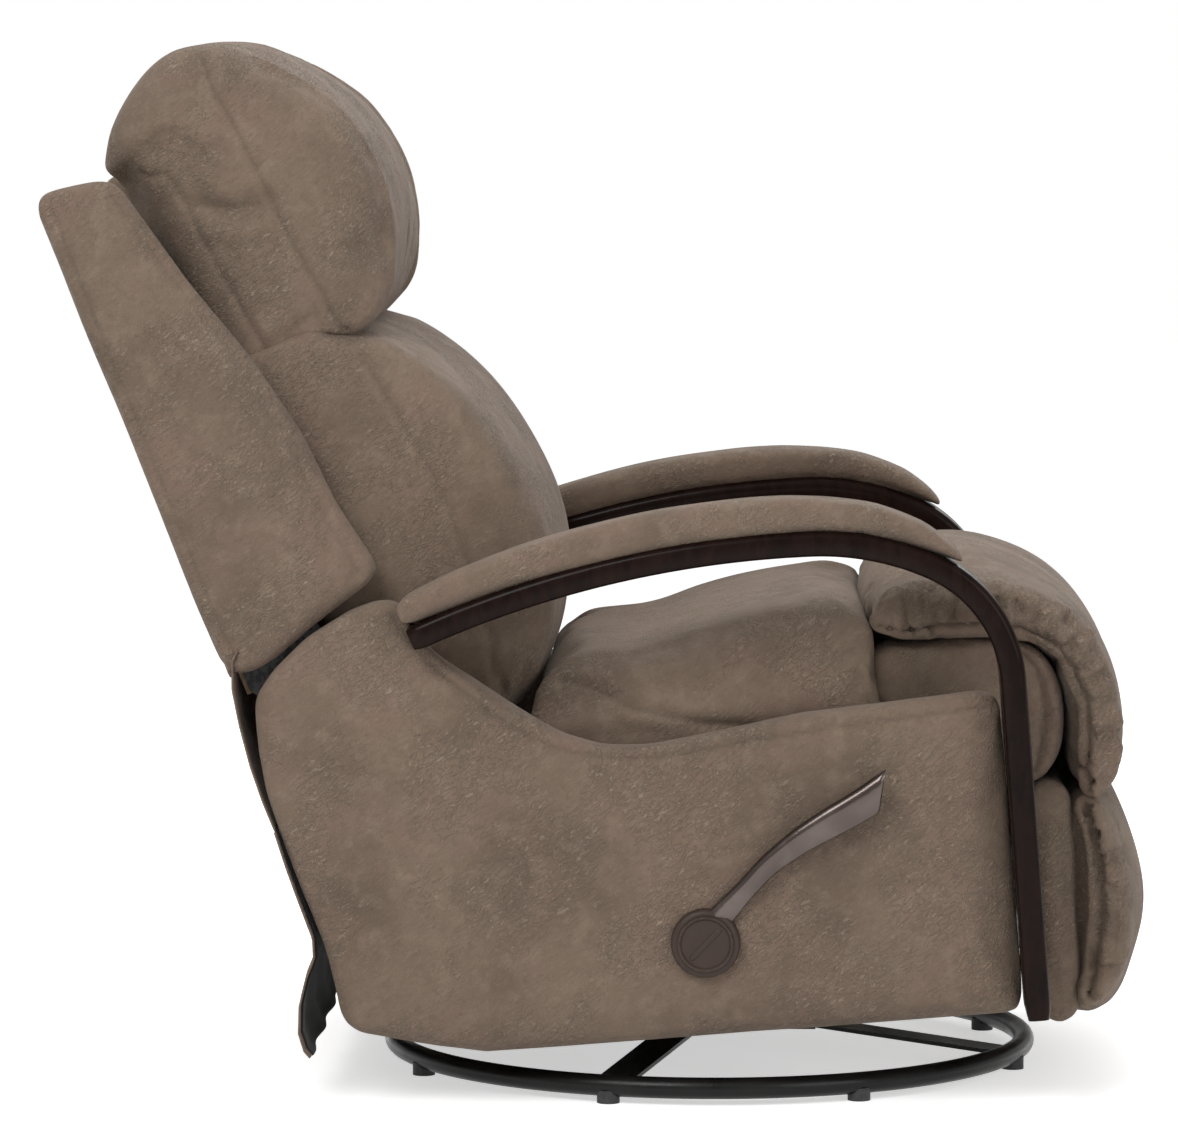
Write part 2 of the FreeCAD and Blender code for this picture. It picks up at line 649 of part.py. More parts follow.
def box_hardware():
    rail = [("rear_rail_depth + cross_rail", "rear_rail_bottom"), ("-150", "front_rail_height + 10"),
            ("front_rail_depth", "front_rail_height + 10"), ("front_rail_depth", "glide_rear_height + 22"),
            ("rear_rail_depth + cross_rail", "glide_rear_height + 22")]
    side = plate("glide_rail", rail, "box_rail_inside", "plate_thick",
                 [("glide_front_depth", "glide_front_height", "glide_pin"),
                  ("glide_rear_depth", "glide_rear_height", "glide_pin")])
    side.Placement = box_frame()
    keep("glide_rails", both_sides("glide_rails", side))
    pins = []
    for label in ("front", "rear"):
        spot = ("-glide_%s_depth" % label, "glide_%s_height" % label)
        shaft = rod(label + "_hanger_shaft", "glide_pin", "glide_inside - 0.4",
                    "box_rail_inside + plate_thick + 2 - glide_inside", spot, "x")
        head = rod(label + "_hanger_head", "glide_pin + 4", "box_rail_inside + plate_thick", "4", spot, "x")
        pin = fuse(label + "_hanger_pin", [shaft, head])
        pin.Placement = box_frame()
        pins += [pin, mirrored(label + "_hanger_pin_left", pin)]
    keep("glide_rail_pins", group("glide_rail_pins", pins))
    ear = [("pivot_depth - 26", "pivot_height - 90"), ("pivot_depth + 26", "pivot_height - 90"),
           ("pivot_depth + 26", "pivot_height", 26), ("pivot_depth - 26", "pivot_height")]
    hinge = plate("hinge_plate", ear, "panel_inside - plate_thick", "plate_thick",
                  [("pivot_depth", "pivot_height", "pivot_pin")])
    hinge.Placement = box_frame()
    keep("back_hinge_plates", both_sides("back_hinge_plates", hinge))
    inner_end, spot = "stile_inside + stile_width - 3", ("-pivot_depth", "pivot_height")
    shaft = rod("recline_shaft", "pivot_pin", inner_end, "panel_inside - (%s)" % inner_end, spot, "x")
    head = rod("recline_head", "pivot_pin + 5", inner_end, "2.7", spot, "x")
    pin = fuse("recline_pin", [shaft, head])
    pin.Placement = box_frame()
    keep("recline_pins", both_sides("recline_pins", pin))
    guide = boolean("Cut", "guide_channel",
                    block("guide_outer", ("panel_inside - 14", "14"), ("-160", "310"), ("300", "26")),
                    block("guide_inner", ("panel_inside - 15", "13"), ("-161", "312"), ("303", "20")))
    guide.Placement = box_frame()
    keep("seat_guide_tracks", both_sides("seat_guide_tracks", guide))
    thick = size("skirt_thick")
    ledge = size("pivot_depth")
    top = size("pivot_height")
    low = size("panel_bottom")
    outer = [(ledge - 152.7, top - 20), (ledge - 141.7, top - 60), (ledge - 123.2, top - 128),
             (ledge - 144, low + 61.5), (ledge - 147, low + 47.5), (ledge - 146.3, low + 20.5),
             (ledge - 139.2, low + 7)]
    feature("rear_skirt", sheet_of(outer, thick, size("panel_outside") - 8), box_frame())


def sheet_of(spots, thick, half):
    # A thin hanging panel: a line of points given a thickness towards the front.
    front = [(depth + thick, height) for depth, height in reversed(spots)]
    steps = [(spot,) for spot in spots[1:] + front] + [(spots[0],)]
    face = Part.Face(closed(-half, spots[0], steps))
    return face.extrude(Vector(2 * half, 0, 0))


# Handle: a bent lever on a round hub, fixed to the drive rod that crosses the box.
def handle_pieces():
    outside = size("panel_outside")
    depth, height = size("handle_depth"), size("handle_height")
    frame = box_frame()
    thick = size("hub_thick")
    lever_out = outside + 1 + thick
    outwards, hub_round = Vector(1, 0, 0), size("hub_round")
    hub = Part.makeCylinder(hub_round, thick, in_box(depth, height, -lever_out), outwards)
    tip = (depth + 191.5, height + 151)
    line = Part.Arc(in_box(depth, height, -lever_out), in_box(depth + 78, height + 86, -lever_out - 16),
                    in_box(*tip, -lever_out - 26)).toShape()
    sections = ((0.0, 12, 7), (0.25, 11, 7), (0.5, 14, 7), (0.75, 18, 6), (0.93, 21, 5), (1.0, 14, 4))
    wires = [lever_section(line, share, wide, deep) for share, wide, deep in sections]
    lever = Part.makeLoft(wires, True, False)
    feature("release_handle", hub.fuse(lever).removeSplitter(), frame)
    cap = Part.makeCylinder(hub_round - 7, 3, in_box(depth, height, -lever_out - 10), outwards)
    boss = Part.makeCylinder(hub_round - 5, 8, in_box(depth, height, -lever_out - 7.5), outwards)
    cap = cap.fuse(boss).cut(lever).cut(hub)
    feature("handle_cap", largest(cap), frame)
    rod_start = -(outside + 1)
    rod_length = outside + 1 + size("panel_inside") + 20
    shaft = Part.makeCylinder(size("rod_radius"), rod_length, in_box(depth, height, rod_start), outwards)
    feature("drive_rod", shaft, frame)


def largest(shape):
    return max(shape.Solids, key=lambda solid: solid.Volume)


def lever_section(line, share, wide, deep):
    span = line.LastParameter - line.FirstParameter
    at = line.FirstParameter + share * span
    spot, along = line.valueAt(at), line.tangentAt(at)
    out = Vector(1, 0, 0)
    across = along.cross(out).normalize()
    out = across.cross(along).normalize()
    corners = [spot + across * (a * wide) + out * (b * deep) for a, b in
               ((1, 0), (0, 1), (-1, 0), (0, -1))]
    between = [spot + across * (a * wide * 0.78) + out * (b * deep * 0.78) for a, b in
               ((1, 1), (-1, 1), (-1, -1), (1, -1))]
    edges = [Part.Arc(corners[i], between[i], corners[(i + 1) % 4]).toShape() for i in range(4)]
    return Part.Wire(edges)


# Seat: wooden frame on two slides, webbing, cushion, front roll and the chaise pad.
def seat_pieces():
    frame = box_frame()
    length = "seat_rail_front - seat_rail_rear"
    side = block("seat_rail", ("seat_rail_inside", "seat_rail_width"), ("-seat_rail_front", length),
                 ("seat_rail_bottom", "seat_rail_height"))
    sides = group("seat_rail_pair", [side, mirrored("seat_rail_right", side)])
    keep("seat_side_rails", sides, frame)
    across = ("-seat_rail_inside", "2 * seat_rail_inside")
    level = ("seat_rail_bottom", "seat_rail_height")
    rails = [block(label + "_seat_rail", across, (start, "cross_rail"), level)
             for label, start in (("rear", "-seat_rail_rear - cross_rail"), ("front", "-seat_rail_front"))]
    keep("seat_cross_rails", group("seat_cross_rails", rails), frame)
    straps = [block("seat_strap_%d" % index, ("-mount_inside", "2 * mount_inside"),
                    ("-seat_rail_front + %d" % (28 + 76 * index), "50"),
                    ("seat_rail_bottom + seat_rail_height", "web_thick")) for index in range(5)]
    keep("seat_webbing", group("seat_webbing", straps), frame)
    slide = block("slide_bar", ("mount_inside", "panel_inside - mount_inside - 2.5"), ("-80", "200"),
                  ("303.5", "19"))
    hanger = block("slide_hanger", ("mount_inside", "6"), ("-80", "200"), ("322.5", "20"))
    bar = fuse("seat_slide", [slide, hanger])
    bar.Placement = frame
    keep("seat_slides", both_sides("seat_slides", bar))
    bottom = size("cushion_seat")
    crown = bottom + size("cushion_thick")
    crease, rear = size("seam_depth"), size("cushion_rear")

    def cushion(drop):
        start = (rear + drop / 2, bottom)
        steps = [((crease - 4 - drop / 3, bottom),),
                 ((crease - 1 - drop / 2, bottom + 45), (crease - 5 - drop / 2, crown - 26 - drop)),
                 ((crease - 18, crown - 6 - drop), (crease - 42, crown - drop)),
                 (((crease - 42 + rear + 15) / 2, crown - 6.5 - drop),
                  (rear + 15 + drop / 2, crown - 31 - drop)),
                 ((rear + 4 + drop / 2, (bottom + crown) / 2 - 15), start)]
        return start, steps

    crowned("seat_cushion", size("cushion_half"), cushion, size("seat_crown"), frame)
    nose, front = size("seat_rail_front") + 0.4, size("seat_rail_front") + size("roll_reach")
    roll_top, roll_foot = size("roll_top"), size("seat_rail_bottom") - size("roll_drop")

    def front_roll(drop):
        foot = roll_foot + drop
        steps = [((nose, bottom),), ((nose, foot),), ((front - 33, foot),),
                 ((front - 7 - drop, foot - drop + 24), (front - 1 - drop, foot - drop + 54)),
                 ((front - drop, foot - drop + 78), (front - 5 - drop, foot - drop + 100)),
                 ((front - 14 - drop / 2, roll_top - 12 - drop / 2), (front - 30, roll_top)),
                 ((crease, roll_top),), ((crease, bottom),)]
        return (crease, bottom), steps

    crowned("seat_front_roll", size("mount_inside") - 1, front_roll, 6, frame)
    turn_depth, turn_height, roll = size("flap_depth"), size("flap_height"), size("flap_roll")

    def on_roll(angle, radius):
        way = math.radians(angle)
        return turn_depth + radius * math.cos(way), turn_height + radius * math.sin(way)

    under, ridge = size("drape_seat"), turn_height + roll + size("drape_rise")
    seam = crease + 2 * size("rest_gap")
    lip = (ridge - under) / 78.4

    def chaise_top(drop):
        radius = roll - drop * 0.8
        steps = [((front - 29, under),), ((front - 9.5, under - 11.5), (front - 0.2, under - 40)),
                 ((front + 1.6, under - 63),), (on_roll(-48, radius),),
                 (on_roll(18, radius), on_roll(85, radius)),
                 ((turn_depth - 22, ridge - 3.5 - drop), (turn_depth - 56, ridge - drop)),
                 ((seam + 47.5, ridge + 2 - drop), (seam + 8.5, ridge - 12 - drop)),
                 ((seam + 1.5 + drop / 3, under + 44 * lip), (seam, under + 17 * lip)), ((seam, under),)]
        return (seam, under), steps

    crowned("chaise_pad_top", size("cushion_half"), chaise_top, 16, frame)
    inner = roll + size("rest_gap")
    hem = turn_height - size("drape_drop")

    def chaise_front(drop):
        start = on_roll(-48, inner)
        steps = [(on_roll(-30, inner), on_roll(-12, inner)),
                 ((turn_depth + 78 - drop / 2, turn_height - 33), (turn_depth + 82 - drop, turn_height - 73)),
                 ((turn_depth + 78 - drop, hem + 34), (turn_depth + 62 - drop, hem + 7)),
                 ((turn_depth + 44, hem + drop / 4), (turn_depth + 26, hem + 4 + drop / 4)),
                 ((turn_depth + 22.5, hem + 19),), ((turn_depth + 32, hem + 69),), (start,)]
        return start, steps

    crowned("chaise_pad_front", size("cushion_half"), chaise_front, 12, frame)
    spot = ("main_pivot_depth", "main_pivot_height", "link_pin")
    guide = ("guide_depth", "guide_height", "link_pin")
    outline = [("main_pivot_depth - 18", "main_pivot_height - 16"),
               ("main_pivot_depth + 18", "main_pivot_height - 16"),
               ("guide_depth + 16", "guide_height - 16"), ("guide_depth + 16", "guide_height + 26"),
               ("main_pivot_depth - 18", "guide_height + 26")]
    mount = plate("footrest_mount", outline, "mount_inside", "plate_thick", [spot, guide])
    mount.Placement = frame
    keep("footrest_mount_plates", both_sides("footrest_mount_plates", mount))


# Footrest mechanism: a lazy-tongs linkage on each side, folded behind the footrest board.
def rivet(name, spot, first, last, frame, headed=True):
    # The shank fills the first plate's hole and turns in the last one's.
    start = "%s - 1.2" % first if headed else first
    length = "%s + plate_thick + rest_gap + 1 - (%s)" % (last, start)
    shaft = rod(name + "_shaft", "link_pin", start, length, spot, "x")
    head = rod(name + "_head", "link_pin + 2.5", start, "1.2", spot, "x") if headed else None
    clip = rod(name + "_clip", "link_pin + 2", "%s + plate_thick + rest_gap / 2" % last, "0.8", spot, "x")
    pin = fuse(name, [shaft, head, clip] if headed else [shaft, clip])
    pin.Placement = frame
    return [pin, mirrored(name + "_left", pin)]


def footrest_links():
    frame = box_frame()
    running = "link_pin + slip"
    main_pivot = (size("main_pivot_depth"), size("main_pivot_height"))
    main = link("main_link", "layer_one", main_pivot, "main_length", size("main_angle"), "main_half",
                [("0", running), ("control_reach", "link_pin"), ("main_length", "link_pin")], frame)
    keep("footrest_main_links", both_sides("footrest_main_links", main))
    elbow = (size("elbow_depth"), size("elbow_height"))
    front = link("front_link", "layer_two", elbow, "front_length", size("front_angle"), "slim_half",
                 [("0", running), ("guide_reach", "link_pin"), ("front_length", running)], frame)
    keep("footrest_front_links", both_sides("footrest_front_links", front))
    front_way, main_way = math.radians(size("front_angle")), math.radians(size("main_angle"))
    guided = (elbow[0] + size("guide_reach") * math.cos(front_way),
              elbow[1] + size("guide_reach") * math.sin(front_way))
    pivot = (size("guide_depth"), size("guide_height"))
    reach, angle = reach_and_angle(pivot, guided)
    guide = link("guide_link", "layer_three", pivot, str(reach), angle, "slim_half + 2",
                 [("0", running), (str(reach), "link_pin + 3")], frame)
    keep("footrest_guide_links", both_sides("footrest_guide_links", guide))
    knee = (main_pivot[0] + size("control_reach") * math.cos(main_way),
            main_pivot[1] + size("control_reach") * math.sin(main_way))
    foot = (size("foot_depth") + size("control_shift"), size("foot_height") + size("control_rise"))
    reach, angle = reach_and_angle(knee, foot)
    control = link("control_link", "layer_two", knee, str(reach), angle, "slim_half",
                   [("0", running), (str(reach), "link_pin + 1")], frame)
    keep("footrest_control_links", both_sides("footrest_control_links", control))
    seat_pins = rivet("main_rivet", ("-main_pivot_depth", "main_pivot_height"), "mount_inside", "layer_one",
                      frame, False)
    seat_pins += rivet("guide_rivet", ("-guide_depth", "guide_height"), "mount_inside", "layer_three",
                       frame, False)
    keep("footrest_mount_pins", group("footrest_mount_pins", seat_pins))
    link_pins = rivet("elbow_rivet", (str(-elbow[0]), str(elbow[1])), "layer_one", "layer_two", frame)
    link_pins += rivet("knee_rivet", (str(-knee[0]), str(knee[1])), "layer_one", "layer_two", frame)
    keep("main_link_pins", group("main_link_pins", link_pins))
    guide_pins = rivet("guided_rivet", (str(-guided[0]), str(guided[1])), "layer_two", "layer_three", frame)
    keep("front_link_pins", group("front_link_pins", guide_pins))
    foot_pins = rivet("foot_rivet", ("-foot_depth", "foot_height"), "layer_one", "layer_two", frame)
    foot_pins += rivet("control_rivet", ("-(foot_depth + control_shift)", "foot_height + control_rise"),
                       "layer_one", "layer_two", frame)
    keep("footrest_pins", group("footrest_pins", foot_pins))


def reach_and_angle(here, there):
    across, up = there[0] - here[0], there[1] - here[1]
    return math.hypot(across, up), math.degrees(math.atan2(up, across))


def footrest_pieces():
    frame = box_frame()
    board = block("footrest_board", ("-board_half", "2 * board_half"),
                  ("-(board_depth + board_thick)", "board_thick"),
                  ("board_bottom", "board_top - board_bottom"))
    keep("footrest_board", board, frame)
    outline = [("foot_depth - 11", "foot_height - 14"), ("board_depth", "foot_height - 14"),
               ("board_depth", "foot_height + control_rise + 14"),
               ("foot_depth - 11", "foot_height + control_rise + 14")]
    ear = plate("bracket_ear", outline, "layer_one", "plate_thick",
                [("foot_depth", "foot_height", "link_pin"),
                 ("foot_depth + control_shift", "foot_height + control_rise", "link_pin")])
    flange = block("bracket_flange", ("layer_one - 30", "30"), ("-board_depth", "plate_thick"),
                   ("board_bottom + 70", "board_top - board_bottom - 90"))
    bracket = fuse("footrest_bracket", [ear, flange])
    bracket.Placement = frame
    keep("footrest_brackets", both_sides("footrest_brackets", bracket))
    rear = size("board_depth") + size("board_thick") + 0.3

    def pad(drop):
        steps = [((378, 47 + drop / 2),), ((411, 62 + drop / 2), (429 - drop, 92)),
                 ((438 - drop, 144), (427 - drop, 198)), ((423 - drop, 216), (413 - drop, 232)),
                 ((406 - drop, 241 - drop / 3), (380, 244 - drop / 3)), ((366, 256),), ((rear, 260),),
                 ((rear, 47 + drop / 2),)]
        return (rear, 47 + drop / 2), steps

    crowned("footrest_pad", size("board_half") + 13, pad, 14, frame)


# Back: stiles and rails under two stuffed cushions, with wings and an outside panel.
def back_pieces():
    frame = back_frame()
    rear = "-(back_face + back_cover) - stile_depth"
    stile = block("back_stile", ("stile_inside", "stile_width"), (rear, "stile_depth"),
                  ("stile_bottom", "stile_top - stile_bottom"))
    pair = group("back_stile_pair", [stile, mirrored("back_stile_right", stile)])
    keep("back_stiles", pair, frame)
    across = ("-stile_inside", "2 * stile_inside")
    through = ("-(back_face + back_cover) - cross_rail", "cross_rail")
    rails = [block(label + "_back_rail", across, through, (start, "40"))
             for label, start in (("lower", "stile_bottom"), ("middle", "stile_bottom + 200"),
                                  ("upper", "stile_top - 40"))]
    keep("back_rails", group("back_rails", rails), frame)
    wide = ("-(stile_inside + stile_width)", "2 * (stile_inside + stile_width)")
    straps = [block("back_strap_%d" % index, wide, (rear + " - web_thick", "web_thick"),
                    ("stile_bottom + %d" % (20 + 92 * index), "50")) for index in range(5)]
    keep("back_webbing", group("back_webbing", straps), frame)
    low = "back_face + back_cover"
    ear = plate("back_bracket",
                [("-20", "-10"), ("10", "-20"), ("20", "10"), ("stile_depth + " + low, "stile_bottom + 100"),
                 (low + " + 4", "stile_bottom + 100"), (low + " + 4", "stile_bottom + 4")],
                "stile_inside + stile_width", "plate_thick", [("0", "0", "pivot_pin + slip")])
    ear.Placement = frame
    keep("back_brackets", both_sides("back_brackets", ear))
    cover = block("outside_back", ("-wing_inside + 0.5", "2 * wing_inside - 1"),
                  ("-(back_face + back_cover)", "back_cover"), ("176", "488"))
    keep("outside_back_panel", cover, frame)
    edge = [("-130", "187"), ("-112", "184.5"), ("28", "218"), ("23", "284"), ("15", "378"), ("5", "470"),
            ("-53", "640"), ("-62", "668"), ("-121", "674"), ("back_face", "662"), ("back_face", "205")]
    wing = plate("wing_body", edge, "wing_inside", "wing_thick")
    keep("wing_left", wing, frame)
    keep("wing_right", mirrored("wing_right", wing))
    rest = size("back_face") + size("back_cover") + size("stile_depth") + size("web_thick")
    crease = size("crease")

    foot, full = size("lumbar_foot"), size("lumbar_depth")

    def lumbar(drop):
        start = (rest, foot + 38)
        steps = [((60, foot),), ((90, foot + 9), (full - 65 - drop / 3, foot + 35)),
                 ((full - 26 - drop, foot + 86), (full - 3 - drop, foot + 154)),
                 ((full - drop, crease - 199), (full - 10 - drop, crease - 137)),
                 ((full - 37 - drop, crease - 62), (full - 80 - drop / 2, crease - 3)),
                 ((rest, crease - 3),), (start,)]
        return start, steps

    crowned("lumbar_cushion", size("lumbar_half"), lumbar, 26, frame)

    full, top, hang = size("pillow_depth"), size("pillow_top"), size("pillow_hang")
    behind = size("back_face") + 50

    def pillow(drop):
        start = (rest, crease + 3)
        steps = [((full - 53 - drop / 2, crease + 3),),
                 ((full - 17 - drop, crease + 63), (full - drop, crease + 138)),
                 ((full - 12 - drop, top - 125), (full - 39 - drop, top - 75)),
                 ((full - 102 - drop, top - 15 - drop / 2), (full - 160, top - drop)),
                 ((full - 210, top - 13 - drop), (behind + 22 + drop / 3, top - 41 - drop)),
                 ((behind + drop / 2, hang + 28), (behind + 2 + drop / 2, hang)),
                 ((rest, hang - 6),), (start,)]
        return start, steps

    crowned("head_pillow", size("lumbar_half") - 14, pillow, 40, frame)


def check_and_write():
    doc.recompute()
    for thing in doc.Objects:
        bad = [word for word in thing.State if word in ("Invalid", "Error")]
        if bad:
            raise RuntimeError("%s did not build: %s" % (thing.Name, bad))
    for name, thing in PIECES.items():
        if thing.Shape.isNull() or not thing.Shape.isValid():
            raise RuntimeError("%s has no valid shape" % name)
    for name, thing in PIECES.items():
        thing.Shape.exportStep("parts/%s.step" % name)
    print("%d pieces written" % len(PIECES))


base()
swivel_frame_pieces()
glide_links()
ARM = arm_shapes()
seat_box_pieces(ARM)
arms(*ARM)
box_hardware()
handle_pieces()
seat_pieces()
footrest_links()
footrest_pieces()
back_pieces()
check_and_write()
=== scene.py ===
import math

import bpy
import numpy as np
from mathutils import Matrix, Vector, noise
from mathutils.bvhtree import BVHTree


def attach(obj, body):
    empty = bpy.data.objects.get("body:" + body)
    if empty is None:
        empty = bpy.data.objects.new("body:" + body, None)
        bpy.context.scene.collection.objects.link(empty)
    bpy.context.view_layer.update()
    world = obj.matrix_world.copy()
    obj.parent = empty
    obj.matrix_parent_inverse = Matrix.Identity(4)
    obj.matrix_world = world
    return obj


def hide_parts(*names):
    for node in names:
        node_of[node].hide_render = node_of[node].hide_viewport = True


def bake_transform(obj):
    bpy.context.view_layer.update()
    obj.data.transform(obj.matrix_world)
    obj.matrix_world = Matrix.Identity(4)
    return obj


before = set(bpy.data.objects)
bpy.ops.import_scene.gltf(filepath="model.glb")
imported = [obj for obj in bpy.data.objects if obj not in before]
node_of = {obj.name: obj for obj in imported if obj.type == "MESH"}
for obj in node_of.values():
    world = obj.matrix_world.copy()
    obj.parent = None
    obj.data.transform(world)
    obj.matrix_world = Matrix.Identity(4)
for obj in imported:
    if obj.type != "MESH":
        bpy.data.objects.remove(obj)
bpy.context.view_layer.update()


# Base ring: one length of round steel tube, bent to a hoop and welded.
# It is coated in satin black powder, and shoes and floors have dulled its crown a little.
SWIVEL_BACK = -0.107
RING_RADIUS, RING_TUBE, RING_HEIGHT = 0.3155, 0.0105, 0.0165
POWDER_BLACK = (0.006, 0.0056, 0.0054)
RUBBED_STEEL = (0.055, 0.052, 0.05)


def start_effect(name, inputs, outputs):
    """A node group with named sockets. Inputs are pairs of a name and its starting value."""
    tree = bpy.data.node_groups.new(name, "ShaderNodeTree")
    for label, default in inputs:
        kind = "NodeSocketColor" if isinstance(default, tuple) else "NodeSocketFloat"
        socket = tree.interface.new_socket(name=label, in_out="INPUT", socket_type=kind)
        socket.default_value = (*default, 1) if isinstance(default, tuple) else default
    for label in outputs:
        kind = "NodeSocketColor" if label.endswith("Colour") else "NodeSocketFloat"
        tree.interface.new_socket(name=label, in_out="OUTPUT", socket_type=kind)
    return tree, tree.nodes.new("NodeGroupInput"), tree.nodes.new("NodeGroupOutput")


def feed(tree, socket, source):
    if isinstance(source, bpy.types.NodeSocket):
        tree.links.new(source, socket)
    elif isinstance(source, tuple) and len(source) == 3 and socket.type == "RGBA":
        socket.default_value = (*source, 1)
    else:
        socket.default_value = source


def place(tree, kind, feeds=None, **settings):
    node = tree.nodes.new("ShaderNode" + kind)
    for key, value in settings.items():
        setattr(node, key, value)
    for key, source in (feeds or {}).items():
        feed(tree, node.inputs[key], source)
    return node


def blended(tree, share, first, second):
    node = place(tree, "Mix", data_type="RGBA")
    for index, source in ((0, share), (6, first), (7, second)):
        feed(tree, node.inputs[index], source)
    return node.outputs[2]


def ramped(tree, source, low, high, floor=0.0, ceiling=1.0):
    node = place(tree, "MapRange", interpolation_type="SMOOTHSTEP")
    for index, value in enumerate((source, low, high, floor, ceiling)):
        feed(tree, node.inputs[index], value)
    return node.outputs[0]


def reckoned(tree, way, first, second):
    node = place(tree, "Math", operation=way)
    feed(tree, node.inputs[0], first)
    feed(tree, node.inputs[1], second)
    return node.outputs[0]


def object_place(tree):
    return place(tree, "TexCoord").outputs["Object"]


def cloudy(tree, where, scale, detail=3.0, warp=0.0):
    node = place(tree, "TexNoise", {"Vector": where, "Scale": scale, "Detail": detail, "Distortion": warp})
    return node.outputs["Fac"]


def make_coat_wear():
    # Orange peel, handling marks and rubbed edges of any sprayed or brushed coat.
    tree, given, result = start_effect("Coat Wear", [
        ("Coat Colour", (0.1, 0.1, 0.1)), ("Rubbed Colour", (0.3, 0.3, 0.3)), ("Rubbing", 0.5),
        ("Peel Scale", 300.0), ("Dull", 0.5), ("Glossy", 0.3)], ["Worn Colour", "Sheen Loss", "Peel"])
    where = object_place(tree)
    smears = cloudy(tree, where, 22.0, 5.0, 0.4)
    specks = cloudy(tree, where, 160.0, 2.0)
    edge = ramped(tree, place(tree, "NewGeometry").outputs["Pointiness"], 0.52, 0.62)
    broken = reckoned(tree, "MULTIPLY", edge, ramped(tree, specks, 0.4, 0.6))
    rubbed = reckoned(tree, "MULTIPLY", broken, given.outputs["Rubbing"])
    tone = blended(tree, ramped(tree, smears, 0.35, 0.75, 0.0, 0.35), given.outputs["Coat Colour"],
                   blended(tree, 0.35, given.outputs["Coat Colour"], given.outputs["Rubbed Colour"]))
    feed(tree, result.inputs["Worn Colour"], blended(tree, rubbed, tone, given.outputs["Rubbed Colour"]))
    sheen_loss = place(tree, "MapRange")
    for index, value in enumerate((smears, 0.3, 0.7, given.outputs["Glossy"], given.outputs["Dull"])):
        feed(tree, sheen_loss.inputs[index], value)
    feed(tree, result.inputs["Sheen Loss"], sheen_loss.outputs[0])
    feed(tree, result.inputs["Peel"], cloudy(tree, where, given.outputs["Peel Scale"], 2.0))
    return tree


COAT_WEAR = make_coat_wear()


def start_finish(name, **numbers):
    """A material with its shader. Numbers that are the same all over sit on the shader itself."""
    finish = bpy.data.materials.new(name)
    finish.use_nodes = True
    shader = finish.node_tree.nodes["Principled BSDF"]
    for label, number in numbers.items():
        shader.inputs[label.replace("_", " ")].default_value = number
    return finish, finish.node_tree, shader


def raise_relief(tree, shader, height, distance):
    bump = place(tree, "Bump", {"Height": height, "Distance": distance, "Strength": 1.0})
    tree.links.new(bump.outputs["Normal"], shader.inputs["Normal"])


def place_effect(tree, effect, feeds):
    return place(tree, "Group", feeds, node_tree=effect)


def coated_finish(name, coat, rubbed, rubbing, peel_scale, dull, glossy, relief, **numbers):
    finish, tree, shader = start_finish(name, **numbers)
    wear = place_effect(tree, COAT_WEAR, {
        "Coat Colour": coat, "Rubbed Colour": rubbed, "Rubbing": rubbing, "Peel Scale": peel_scale,
        "Dull": dull, "Glossy": glossy})
    feed(tree, shader.inputs["Base Color"], wear.outputs["Worn Colour"])
    feed(tree, shader.inputs["Roughness"], wear.outputs["Sheen Loss"])
    raise_relief(tree, shader, wear.outputs["Peel"], relief)
    return finish


def dress(piece, finish):
    piece.data.materials.clear()
    piece.data.materials.append(finish)
    piece.data.shade_smooth()
    return piece


NODE_CREASE = 0.6


def dress_nodes(finish, *names):
    """Gives pieces of the frame their finish. They keep their own slot."""
    for name in names:
        node = node_of[name]
        node.data.materials.clear()
        node.data.materials.append(finish)
        sharp_edges(node, NODE_CREASE)


def sharp_edges(piece, angle):
    # Flat faces stay crisp and turned faces look round.
    piece.data.shade_smooth()
    piece.data.set_sharp_from_angle(angle=angle)


def new_piece(name, points, faces):
    mesh = bpy.data.meshes.new(name)
    mesh.from_pydata([tuple(point) for point in points], [], faces)
    mesh.validate()
    piece = bpy.data.objects.new(name, mesh)
    bpy.context.scene.collection.objects.link(piece)
    return piece


def skin_over(name, rings, loop=False):
    """Quads over rings of equally many points. A loop joins the last ring to the first."""
    count = len(rings[0])
    points = [point for ring in rings for point in ring]
    faces = []
    rows = len(rings) if loop else len(rings) - 1
    for row in range(rows):
        here, there = row * count, (row + 1) % len(rings) * count
        for index in range(count):
            after = (index + 1) % count
            faces.append((here + index, here + after, there + after, there + index))
    if not loop:
        faces.append(tuple(reversed(range(count))))
        faces.append(tuple(range((len(rings) - 1) * count, len(rings) * count)))
    return new_piece(name, points, faces)


satin_black = coated_finish("satin_black_powder", POWDER_BLACK, RUBBED_STEEL, 0.4, 420.0,
                            0.4, 0.26, 0.0002, Specular_IOR_Level=0.2, Coat_Weight=0.06, Coat_Roughness=0.15)
hoop_rings = []
for step in range(180):
    way = math.tau * step / 180
    out = Vector((math.cos(way), math.sin(way), 0))
    middle = Vector((0, SWIVEL_BACK, RING_HEIGHT)) + out * RING_RADIUS
    hoop_rings.append([middle + (out * math.cos(turn) + Vector((0, 0, 1)) * math.sin(turn)) * RING_TUBE
                       for turn in [math.tau * k / 20 for k in range(20)]])
hoop = dress(skin_over("base_hoop", hoop_rings, loop=True), satin_black)
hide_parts("base_ring")
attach(hoop, "base")
dress_nodes(satin_black, "base_cross_bars", "base_hub_plate")
moulded_black = coated_finish("moulded_black_nylon", (0.02, 0.02, 0.021), (0.07, 0.07, 0.07), 0.3, 900.0,
                              0.62, 0.5, 0.0001)
dress_nodes(moulded_black, "base_feet", "handle_bushings")


